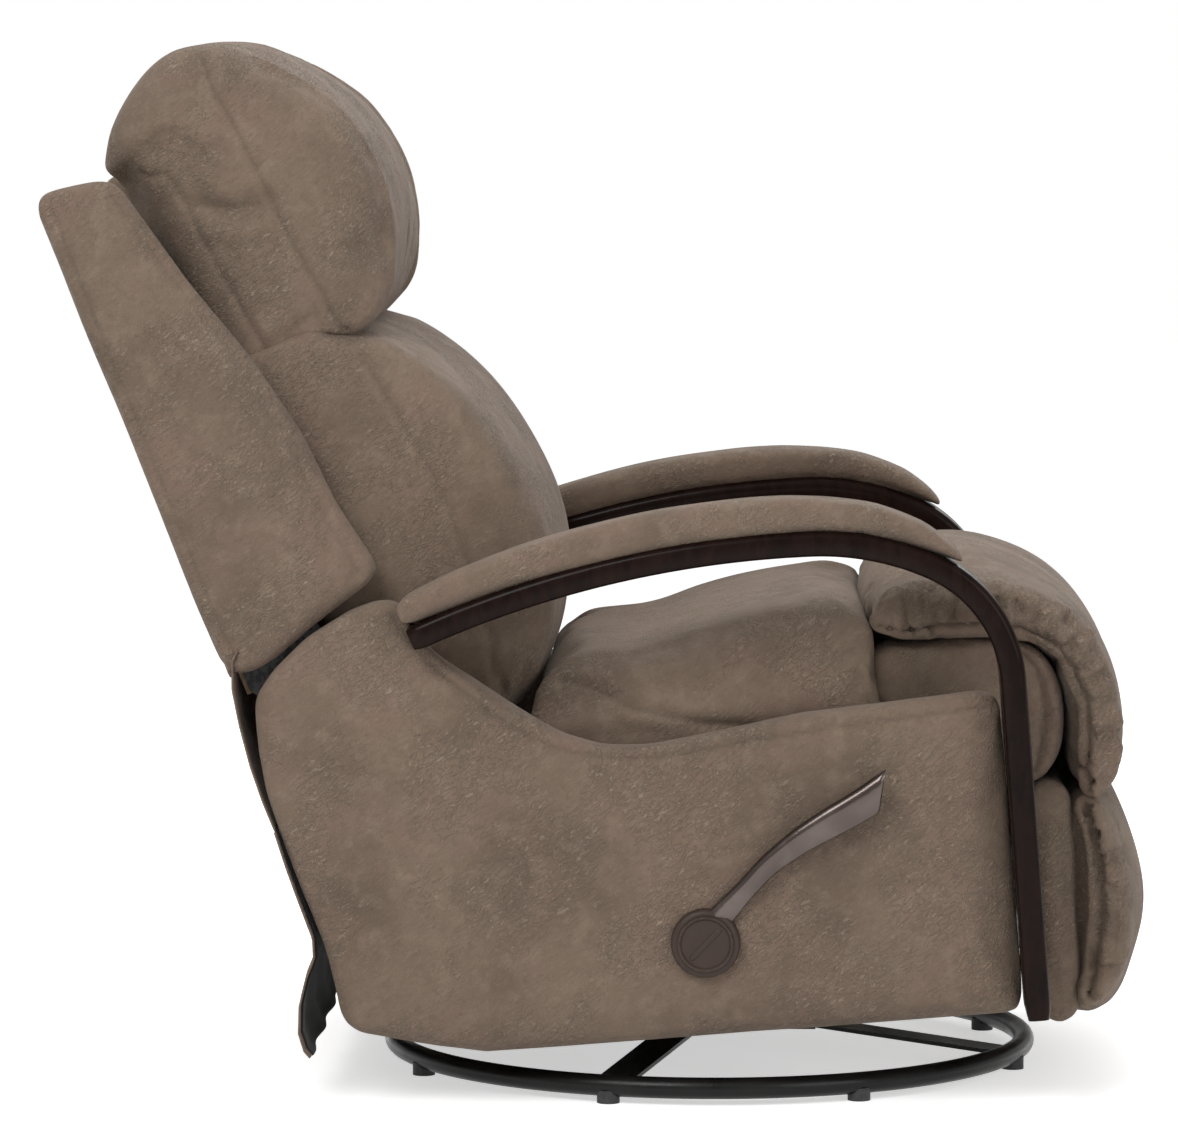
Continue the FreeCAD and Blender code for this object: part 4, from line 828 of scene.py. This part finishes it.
seat = soft_form("seat_cushion_cover", 284, seat_ring, on_box, 20, 7, anchor=seat_anchor)
stuff(seat, 0.0065, 0.009, pressure=4.0, held=lambda spot: 1.0 if spot[2] < 0.352 - spot[1] * 0.08 else 0.0)
finer(seat)
SEAT_SEAM = [(-110, 424), (-94, 417), (-74, 405), (-35, 383), (21, 364), (70, 356)]
for side in (-1, 1):
    sew(seat, box_line(side * 286, SEAT_SEAM), 0.0025, 0.0045, 0.5, seam=0.5)
    for pull in (0, 1, 2):
        crease_end = on_box(side * (284 - 8 * pull), 186, 420 - 9 * pull)
        cushion_end = on_box(side * (285 - 4 * pull), 150 + 6 * pull, 410 - 16 * pull)
        sew(seat, [crease_end, cushion_end], 0.004, 0.0045, 0.7, seam=0)
rumple(seat, 0.004, 6.0, 1.7)
dress(seat, taupe_cloth)
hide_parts("seat_cushion")
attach(seat, "seat")


# Front roll: the padded nose of the seat frame that the footrest pad drapes over.
# It is a tight foam roll in the cover cloth, with one seam down each end.
ROLL_RING = [(184, 350), (184, 395), (190, 414), (230, 418), (300, 417), (337, 411), (352, 403), (364, 386),
             (371, 361), (371, 336), (367, 309), (356, 288), (337, 275), (300, 272), (292, 290), (291, 335),
             (286, 348), (240, 348)]


def roll_anchor(ring):
    # The roll's rear stays full width against the seat cushion, and its top nearly so.
    return np.stack([np.clip((270 - ring[:, 0]) / 40, 0, 1), np.where(ring[:, 1] > 380, 0.7, 0.0)], 1)


roll = soft_form("front_roll_cover", 259, lambda share, count: even_ring(ROLL_RING, count), on_box, 14, 3,
                 anchor=roll_anchor)
stuff(roll, 0.006, 0.005, pressure=2.0, rounds=2)
finer(roll)
ROLL_SEAM = [(335, 404), (346, 390), (350, 373), (351, 344), (346, 315), (338, 288)]
for side in (-1, 1):
    sew(roll, box_line(side * 258, ROLL_SEAM), 0.003, 0.004, 0.6)
dress(roll, taupe_cloth)
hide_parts("seat_front_roll")
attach(roll, "seat")


# Footrest drape: one long pad, sewn to the seat in the crease, over the roll and down the front.
# Its cover is gathered onto a piped hem along each side.
DRAPE_MIDDLE = [(193, 412), (189, 440), (189, 462), (199, 480), (236, 491), (280, 493), (316, 485),
                (357, 465), (387, 440), (408, 409), (421, 373), (427, 334), (426, 298), (418, 268),
                (405, 252), (391, 253), (383, 270), (379, 300), (378, 340), (374, 370), (362, 396),
                (343, 413), (300, 419), (240, 420)]
DRAPE_SIDE = [(196, 432), (194, 446), (196, 460), (206, 472), (232, 477), (270, 477), (312, 472), (344, 463),
              (372, 446), (394, 422), (409, 394), (418, 362), (422, 328), (418, 296), (408, 272), (393, 261),
              (378, 263), (374, 284), (381, 318), (383, 350), (376, 380), (360, 408), (318, 427), (250, 429)]


def drape_ring(share, count):
    turn = min(1.0, max(0.0, (share - 0.35) / 0.6))
    return ring_between(DRAPE_MIDDLE, DRAPE_SIDE, turn * turn * (3 - 2 * turn), count)


def drape_anchor(ring):
    # The rear end keeps its depth where it is sewn into the crease.
    return np.stack([np.clip((252 - ring[:, 0]) / 30, 0, 0.9), np.zeros(len(ring))], 1)


drape = soft_form("footrest_drape_cover", 284, drape_ring, on_box, 17, 2, count=150, anchor=drape_anchor)
stuff(drape, 0.0052, 0.008, pressure=3.0, slack=0.01)
finer(drape)
HEM = [(194, 434), (225, 434), (258, 436), (307, 435), (332, 428), (362, 413), (378, 384), (387, 353),
       (387, 324), (383, 299), (376, 270)]
SHOULDER = [(196, 470), (232, 474), (270, 474), (312, 469), (344, 460), (372, 443), (394, 420), (409, 392),
            (416, 362)]
for side in (-1, 1):
    hem_line = box_line(side * 284, HEM)
    sew(drape, hem_line, 0.005, 0.0036, 0.8, seam=0.6)
    gather(drape, hem_line, (0, -0.75, 0.75), 24, 0.06, 0.008, 0.0058, seed=4)
    sew(drape, box_line(side * 272, SHOULDER), 0.0012, 0.006, 0.3, seam=0.25)
rumple(drape, 0.003, 8.0, 2.3)
dress(drape, taupe_cloth)
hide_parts("chaise_pad_top", "chaise_pad_front")
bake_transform(drape)


# Footrest: a padded board cover with a fat cushion sewn on its face.
# The cushion's cover is gathered onto its own boxing down both sides and round the bottom.
SLAB_RING = [(327, 54), (333, 46), (343, 43), (356, 46), (366, 62), (368, 95), (370, 163), (371, 231),
             (371, 260), (367, 275), (352, 280), (336, 277), (326, 264), (322, 231), (321, 163), (322, 95)]
slab = soft_form("footrest_board_cover", 268, lambda share, count: even_ring(SLAB_RING, count), on_box, 8, 1,
                 count=90)
stuff(slab, 0.006, 0.004, pressure=1.5, rounds=2)
finer(slab)
dress(slab, taupe_cloth)
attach(slab, "footrest")
PUFF_MIDDLE = [(368, 262), (368, 200), (366, 130), (362, 90), (352, 52), (346, 36), (364, 31), (384, 37),
               (402, 53), (418, 86), (430, 119), (434, 151), (429, 190), (418, 228), (404, 262), (393, 280),
               (380, 280)]
PUFF_SIDE = [(369, 250), (369, 200), (366, 130), (363, 92), (358, 66), (360, 56), (368, 58), (378, 66),
             (388, 78), (400, 96), (410, 121), (414, 152), (413, 190), (406, 226), (396, 250), (384, 263),
             (376, 262)]


def puff_ring(share, count):
    return ring_between(PUFF_MIDDLE, PUFF_SIDE, min(1.0, max(0.0, (share - 0.4) / 0.6)) ** 1.5, count)


puff = soft_form("footrest_pad_cover", 278, puff_ring, on_box, 20, 2)
stuff(puff, 0.0052, 0.008, pressure=3.0, slack=0.01)
finer(puff)
PUFF_SEAM = [(380, 263), (385, 242), (388, 220), (390, 196), (389, 170), (388, 148), (383, 124), (379, 107),
             (374, 86), (374, 66)]
for side in (-1, 1):
    seam_line = box_line(side * 277, PUFF_SEAM)
    sew(puff, seam_line, 0.005, 0.0036, 0.8, seam=0.6)
    gather(puff, seam_line, (0, -1, 0.08), 13, 0.065, 0.0075, 0.0065, seed=9)
rumple(puff, 0.003, 8.0, 6.1)
dress(puff, taupe_cloth)
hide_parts("footrest_pad")
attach(puff, "footrest")


# Wings: padded boards on both sides of the back that hold its two pillows between them.
# Each is foam over plywood in the cover cloth, with a boxing seam round its outer face.
WING_EDGE = [(-134, 184), (-121, 179), (-97, 181), (-36, 203), (20, 217), (33, 225), (35, 234), (28, 262),
             (20, 301), (15, 373), (-2, 458), (-32, 551), (-55, 645), (-60, 662), (-74, 670), (-120, 678),
             (-134, 677), (-142, 666), (-142, 560), (-142, 400), (-142, 260), (-141, 200)]
wing_ring = even_ring(WING_EDGE, 200, spline=False)
wing_rings = []
for side, inset in ((289, 4), (292, 2), (300, 1), (318, 1), (324, 3), (328, 6), (330, 11)):
    wing_rings.append(back_line(-side, drawn_in(wing_ring, inset)))
right_wing = skin_over("wing_cover_right", wing_rings)
stuff(right_wing, 0.0065, 0.006, pressure=1.5, held=lambda spot: 1.0 if spot[0] > -0.31 else 0.0, rounds=4)
finer(right_wing)
FRONT_EDGE_SEAM = [(-66, 652), (-58, 620), (-44, 570), (-16, 480), (0, 400), (4, 330), (8, 290), (14, 250),
                   (16, 232)]
REAR_EDGE_SEAM = [(-124, 662), (-126, 560), (-126, 400), (-126, 260), (-124, 200)]
sew(right_wing, back_line(-330, FRONT_EDGE_SEAM), 0.0016, 0.005, 0.5, seam=0.25)
sew(right_wing, back_line(-330, REAR_EDGE_SEAM), 0.0014, 0.004, 0.5, seam=0.3)
rumple(right_wing, 0.0014, 9.0, 8.2)
left_wing = other_side(right_wing, "wing_cover_left")
for wing, node in ((right_wing, "wing_right"), (left_wing, "wing_left")):
    dress(wing, taupe_cloth)
    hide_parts(node)
    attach(wing, "backrest")


# Outside back: cloth stretched over board between the wings, tacked under at the bottom.
# It is flat but for a slight crown where the cloth is pulled over its padding.
OUTSIDE_HALF, OUTSIDE_FACE, OUTSIDE_INNER = 287, -139.5, -133
OUTSIDE_CROWN = ((176, 0), (177, 2.5), (184, 4), (300, 5.5), (420, 6), (540, 5.5), (655, 4), (663, 2.5),
                 (664, 0))
back_rings = []
for side in np.linspace(-1, 1, 60):
    ring = []
    for up, swell in OUTSIDE_CROWN:
        crown = swell * (1 - 0.5 * side ** 4)
        ring.append(on_back(side * OUTSIDE_HALF, OUTSIDE_FACE - crown * 0.3, up))
    for up in (664, 540, 420, 300, 176):
        ring.append(on_back(side * OUTSIDE_HALF, OUTSIDE_INNER, up))
    back_rings.append(ring)
outside_back = skin_over("outside_back_cover", back_rings)
stuff(outside_back, 0.007, 0.002, pressure=1.0, rounds=1)
dress(outside_back, taupe_cloth)
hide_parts("outside_back_panel")
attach(outside_back, "backrest")


# Lumbar cushion: the lower back pillow, blown fibre in a boxed cover on the back webbing.
# Its bottom edge tucks into the crease behind the seat, with two short folds at each corner.
LUMBAR_RING = [(-55, 66), (-10, 44), (58, 30), (92, 38), (112, 48), (138, 66), (156, 84), (176, 114),
               (194, 165), (200, 209), (198, 242), (193, 277), (186, 311), (175, 348), (156, 388), (130, 424),
               (108, 437), (86, 452), (60, 466), (0, 468), (-55, 462), (-60, 300), (-60, 160)]
LUMBAR_SEAM = [(92, 420), (100, 370), (106, 335), (112, 299), (114, 262), (113, 224), (112, 180), (104, 120),
               (90, 70)]


def held_at_crease(from_crease, fade):
    """Both back pillows keep their full height in the crease between them."""
    share = np.clip(from_crease / fade, 0, 1)
    return np.stack([np.zeros(len(share)), share], 1)


lumbar = soft_form("lumbar_cushion_cover", 274,
                   lambda share, count: drawn_in(even_ring(LUMBAR_RING, count), 3), on_back, 34, 8,
                   count=130, anchor=lambda ring: held_at_crease(ring[:, 1] - 385, 45))
stuff(lumbar, 0.0066, 0.009, pressure=4.0, held=lambda spot: 0.6 if abs(spot[0]) > 0.268 else 0.0)
finer(lumbar)
for side in (-1, 1):
    sew(lumbar, back_line(side * 274, LUMBAR_SEAM), 0.0018, 0.004, 0.4, seam=0.45)
    sew(lumbar, back_line(side * 258, [(112, 60), (124, 84), (132, 104)]), 0.006, 0.005, 0.7, seam=0)
    sew(lumbar, back_line(side * 268, [(90, 56), (98, 78), (104, 92)]), 0.005, 0.004, 0.7, seam=0)
rumple(lumbar, 0.004, 5.0, 4.4)
dress(lumbar, taupe_cloth)
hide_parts("lumbar_cushion")
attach(lumbar, "backrest")


# Head pillow: the top back pillow, rolled over the head of the frame and down behind it.
# It is fuller than the lumbar cushion, and its side gussets show seams, soft dents and one deep fold.
PILLOW_RING = [(118, 443), (142, 461), (160, 509), (170, 545), (174, 575), (171, 609), (162, 645), (150, 668),
               (134, 690), (114, 712), (92, 737), (70, 753), (48, 763), (26, 767), (0, 762), (-25, 750),
               (-50, 732), (-68, 712), (-76, 692), (-76, 672), (-64, 660), (-60, 600), (-58, 500), (-50, 445),
               (0, 441), (60, 441)]
pillow = soft_form("head_pillow_cover", 272,
                   lambda share, count: drawn_in(even_ring(PILLOW_RING, count), 3.5), on_back, 44, 6,
                   count=130, anchor=lambda ring: held_at_crease(505 - ring[:, 1], 50))
stuff(pillow, 0.0062, 0.01, pressure=4.0)
finer(pillow)
GUSSET_FRONT = [(62, 752), (57, 736), (54, 709), (59, 682), (62, 656), (66, 621), (68, 592), (70, 560),
                (74, 530), (78, 500), (82, 462), (86, 443)]
GUSSET_REAR = [(-60, 655), (-36, 653), (-18, 652), (-13, 628), (-10, 600), (-7, 570), (-3, 541), (3, 512),
               (7, 481), (10, 450)]
PILLOW_RIDGE = [(101, 739), (127, 713), (147, 685), (157, 653), (166, 619), (168, 586), (165, 556),
                (159, 522), (148, 495), (133, 470), (114, 440)]
PILLOW_FOLDS = [([(-14, 617), (10, 605), (32, 594), (54, 590), (82, 589)], 0.0075, 0.008),
                ([(12, 650), (38, 652), (63, 655)], 0.004, 0.007),
                ([(60, 726), (73, 721), (88, 704)], 0.004, 0.006),
                ([(78, 602), (89, 600), (110, 604)], 0.004, 0.007),
                ([(95, 470), (100, 452), (108, 438)], 0.006, 0.006),
                ([(-40, 690), (-20, 676), (-4, 672)], 0.004, 0.008),
                ([(40, 700), (20, 690), (4, 676)], 0.0035, 0.009)]
for side in (-1, 1):
    sew(pillow, back_line(side * 266, GUSSET_FRONT), 0.0022, 0.0036, 0.4, seam=0.55)
    sew(pillow, back_line(side * 266, GUSSET_REAR), 0.0018, 0.0036, 0.3, seam=0.5)
    sew(pillow, back_line(side * 226, PILLOW_RIDGE), -0.003, 0.006, 0.35, seam=0)
    for line, depth, width in PILLOW_FOLDS:
        sew(pillow, back_line(side * 266, line), depth, width, 0.6, seam=0)
rumple(pillow, 0.005, 6.0, 7.7)
dress(pillow, taupe_cloth)
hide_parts("head_pillow")
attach(pillow, "backrest")


# Rear skirt: a flap of cover cloth with a black lining that closes the gap below the back.
# It is stapled along its top and hangs free, with a turned hem at the bottom.
SKIRT_LINE = [(-389, 296), (-381, 262), (-371, 225), (-362, 192), (-363, 172), (-373, 152), (-381, 128),
              (-384, 102), (-380, 84), (-375, 78)]
SKIRT_HALF, LINING_HALF, LINING_SETBACK = 337, 322, 1.9
CLOTH_ROWS, CLOTH_COLUMNS, RIPPLE = 52, 90, 2.2


def hanging_cloth(name, line, half, setback=0.0):
    """A thin cloth across the chair that follows a line of box depths and heights.
    It ripples from side to side, and more so towards a free lower end."""
    rows = even_ring(line + line[::-1][1:-1], 2 * CLOTH_ROWS, spline=False)[:CLOTH_ROWS + 1]
    points, faces = [], []
    for depth, height in rows:
        slack = min(1.0, max(0.0, (240 - height) / 165))
        for column in range(CLOTH_COLUMNS + 1):
            side = -half + 2 * half * column / CLOTH_COLUMNS
            ripple = RIPPLE * math.sin(column * 0.31 + height * 0.01) * slack
            points.append(on_box(side, depth + setback + ripple, height))
    for row in range(CLOTH_ROWS):
        for column in range(CLOTH_COLUMNS):
            here = row * (CLOTH_COLUMNS + 1) + column
            faces.append((here, here + 1, here + CLOTH_COLUMNS + 2, here + CLOTH_COLUMNS + 1))
    cloth = new_piece(name, points, faces)
    thicken = cloth.modifiers.new("cloth_thickness", "SOLIDIFY")
    thicken.thickness, thicken.offset = 0.0016, 0
    fix_modifiers(cloth)
    return cloth


skirt = dress(hanging_cloth("rear_skirt_cloth", SKIRT_LINE, SKIRT_HALF), taupe_cloth)
lining_black = coated_finish("black_lining_cloth", (0.008, 0.008, 0.0085), (0.03, 0.03, 0.03), 0.3, 900.0,
                             0.95, 0.85, 0.0004, Sheen_Weight=0.1)
lining = dress(hanging_cloth("rear_skirt_lining", SKIRT_LINE, LINING_HALF, LINING_SETBACK),
               lining_black)
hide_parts("rear_skirt")
for cloth, width in ((skirt, 0.674), (lining, 0.644)):
    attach(cloth, "seat_box")


# Back apron: the cover cloth of the outside back, carried on below the back to the rear skirt.
# It hides the hinges.
APRON_LINE = [(-389, 297), (-398, 325), (-407, 360), (-414, 400), (-418, 435), (-416, 462), (-410, 472)]
APRON_HALF = 332
apron = dress(hanging_cloth("back_apron_cloth", APRON_LINE, APRON_HALF), taupe_cloth)
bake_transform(apron)


# Release handle: a cast lever on a round hub, coated in metallic bronze, on the end of the drive rod.
# It leaves the hub by a narrow neck, broadens to a blade with a ridge above, and ends on a slant.
bronze = coated_finish("metallic_bronze_coat", (0.07, 0.05, 0.043), (0.45, 0.38, 0.33), 0.3, 380.0,
                       0.3, 0.2, 0.0001, Metallic=0.9, Coat_Weight=0.6, Coat_Roughness=0.07)
brown_plastic = coated_finish("matte_brown_plastic", (0.042, 0.027, 0.021), (0.11, 0.075, 0.058), 0.4, 700.0,
                              0.5, 0.36, 0.0001, Specular_IOR_Level=0.25)
HUB_DEPTH, HUB_HEIGHT, HUB_FACE = 11.5, 162, -346
# Forward and up from the hub, the blade's breadth, and how far it stands off the side panel.
LEVER = [(6, 14, 25, 7), (17, 25, 24, 8), (41, 48, 19.5, 12), (65, 71, 21, 15), (98, 93, 25.5, 19),
         (128, 108, 29, 21.5), (143, 115, 30, 22.5), (165, 126.5, 30.5, 24), (178, 135, 30, 24.5),
         (190, 143, 27, 25)]
CREST_OUT, CREST_IN = 6.4, 3.2


def lever_rings():
    """Rings along the lever. Past the neck they lean back more and more, down to the slanted tip."""
    stops = np.linspace(0, len(LEVER) - 1, 60)
    table = np.array(LEVER, float)
    dense = np.stack([np.interp(stops, range(len(LEVER)), table[:, k]) for k in range(4)], 1)
    for _ in range(4):
        dense[1:-1] = (dense[:-2] + 2 * dense[1:-1] + dense[2:]) / 4
    along = np.gradient(dense[:, :2], axis=0)
    along /= np.linalg.norm(along, axis=1, keepdims=True)
    rings = []
    for index, (depth, height, wide, reach) in enumerate(dense):
        share = index / (len(dense) - 1)
        shear = 1.05 * max(0.0, (share - 0.62) / 0.38) ** 1.6
        close = 1 - 0.35 * max(0.0, (share - 0.94) / 0.06) ** 2
        ring = []
        for k in range(36):
            turn = math.tau * k / 36
            across = math.cos(turn) * wide / 2
            crest = 1.0 + 0.42 * math.cos(turn)
            rise = math.sin(turn) * (CREST_OUT if math.sin(turn) > 0 else CREST_IN) * crest * close
            back = (across - wide / 2) * shear
            spot_depth = depth - along[index, 1] * across + along[index, 0] * back
            spot_height = height + along[index, 0] * across + along[index, 1] * back
            ring.append(on_box(HUB_FACE - reach - rise, HUB_DEPTH + spot_depth, HUB_HEIGHT + spot_height))
        rings.append(ring)
    return rings


def turned(name, profile, steps=72):
    """A solid of revolution on the handle's spindle. The profile is pairs of radius and distance outwards."""
    rings = []
    for radius, out in profile:
        rings.append([on_box(HUB_FACE - out, HUB_DEPTH + radius * math.cos(math.tau * k / steps),
                             HUB_HEIGHT + radius * math.sin(math.tau * k / steps)) for k in range(steps)])
    return skin_over(name, rings)


lever = dress(skin_over("release_lever", lever_rings()), bronze)
sharp_edges(lever, 0.9)
hub = turned("handle_hub", [(29, 0), (32, 2), (33, 5), (33, 10), (32, 13), (29.5, 14.5), (26, 15), (20, 15)])
dress(hub, brown_plastic)
sharp_edges(hub, 0.9)
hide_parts("release_handle")
cap = turned("handle_cap_face", [(27, 14.8), (27, 17.2), (26.2, 18.6), (24.6, 18.8), (23.4, 17.8),
                                 (22.6, 16.6), (12, 16.2), (1, 16.2)])
RIB_SLANT, RIB_HALF, RIB_SEAT = math.radians(42), 21, 15.8
rib_rings = []
for end in np.linspace(-1, 1, 21):
    drop = 1.6 * max(0.0, (abs(end) - 0.85) / 0.15) ** 2
    low, high = 1.5 - drop, 2.2 - drop
    ring = []
    for across, rise in ((-2.6, 0), (-2.3, low), (-1, high), (1, high), (2.3, low), (2.6, 0)):
        depth = RIB_HALF * end * math.cos(RIB_SLANT) - across * math.sin(RIB_SLANT)
        height = RIB_HALF * end * math.sin(RIB_SLANT) + across * math.cos(RIB_SLANT)
        ring.append(on_box(HUB_FACE - RIB_SEAT - rise, HUB_DEPTH + depth, HUB_HEIGHT + height))
    rib_rings.append(ring)
rib = skin_over("handle_cap_rib", rib_rings)
for piece in (cap, rib):
    dress(piece, brown_plastic)
    sharp_edges(piece, 0.7)
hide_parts("handle_cap")
for piece in (lever, hub, cap, rib):
    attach(piece, "handle")


# Studio: a white floor under soft lamps, as in a product photograph.
# The camera stands level with the top of the back, to the chair's right.
FLOOR_HALF = 14.0
floor = new_piece("studio_floor", [(across * FLOOR_HALF, along * FLOOR_HALF, 0.0)
                                   for across, along in ((-1, -1), (1, -1), (1, 1), (-1, 1))], [(0, 1, 2, 3)])
paper, paper_tree, paper_shader = start_finish("white_paper", Roughness=0.9)
fibre = cloudy(paper_tree, object_place(paper_tree), 60.0, 3.0)
feed(paper_tree, paper_shader.inputs["Base Color"],
     blended(paper_tree, fibre, (0.9, 0.9, 0.9), (0.93, 0.93, 0.93)))
seen = place(paper_tree, "LightPath")
eye = reckoned(paper_tree, "MAXIMUM", seen.outputs["Is Camera Ray"], seen.outputs["Is Glossy Ray"])
feed(paper_tree, paper_shader.inputs["Emission Color"], (1.0, 1.0, 1.0))
feed(paper_tree, paper_shader.inputs["Emission Strength"], reckoned(paper_tree, "MULTIPLY", eye, 0.56))
floor.data.materials.append(paper)

cove = bpy.data.worlds.new("white_cove")
bpy.context.scene.world = cove
cove.use_nodes = True
sky = cove.node_tree
backdrop = sky.nodes["Background"]
gaze = place(sky, "LightPath")
feed(sky, backdrop.inputs["Color"], (1.0, 1.0, 1.0))
feed(sky, backdrop.inputs["Strength"], ramped(sky, gaze.outputs["Is Camera Ray"], 0.0, 1.0, 0.5, 1.0))


def add_lamp(name, spot, aim, size, watts):
    lamp = bpy.data.lights.new(name, "AREA")
    lamp.shape, lamp.size, lamp.energy = "SQUARE", size, watts
    holder = bpy.data.objects.new(name, lamp)
    bpy.context.scene.collection.objects.link(holder)
    holder.location = spot
    holder.rotation_euler = (Vector(aim) - Vector(spot)).to_track_quat("-Z", "Y").to_euler()


add_lamp("soft_key", (-2.8, 1.2, 2.6), (0, 0, 0.5), 1.6, 60)
add_lamp("soft_fill", (-3.0, -2.6, 1.6), (0, -0.1, 0.5), 2.0, 30)
add_lamp("soft_top", (0.4, -0.4, 3.2), (0, 0, 0.4), 1.6, 26)
add_lamp("soft_far_side", (3.0, -0.6, 2.0), (0, 0, 0.5), 2.0, 26)

lens = bpy.data.cameras.new("photographer")
camera = bpy.data.objects.new("photographer", lens)
bpy.context.scene.collection.objects.link(camera)
CAMERA_AIM = Vector((0.0, 0.014, 0.484))
camera.location = (-6.2, -0.143, 1.03)
camera.rotation_euler = (CAMERA_AIM - camera.location).to_track_quat("-Z", "Y").to_euler()
lens.sensor_width, lens.lens = 36.0, 190.2
bpy.context.scene.camera = camera
bpy.context.scene.view_settings.view_transform = "Standard"
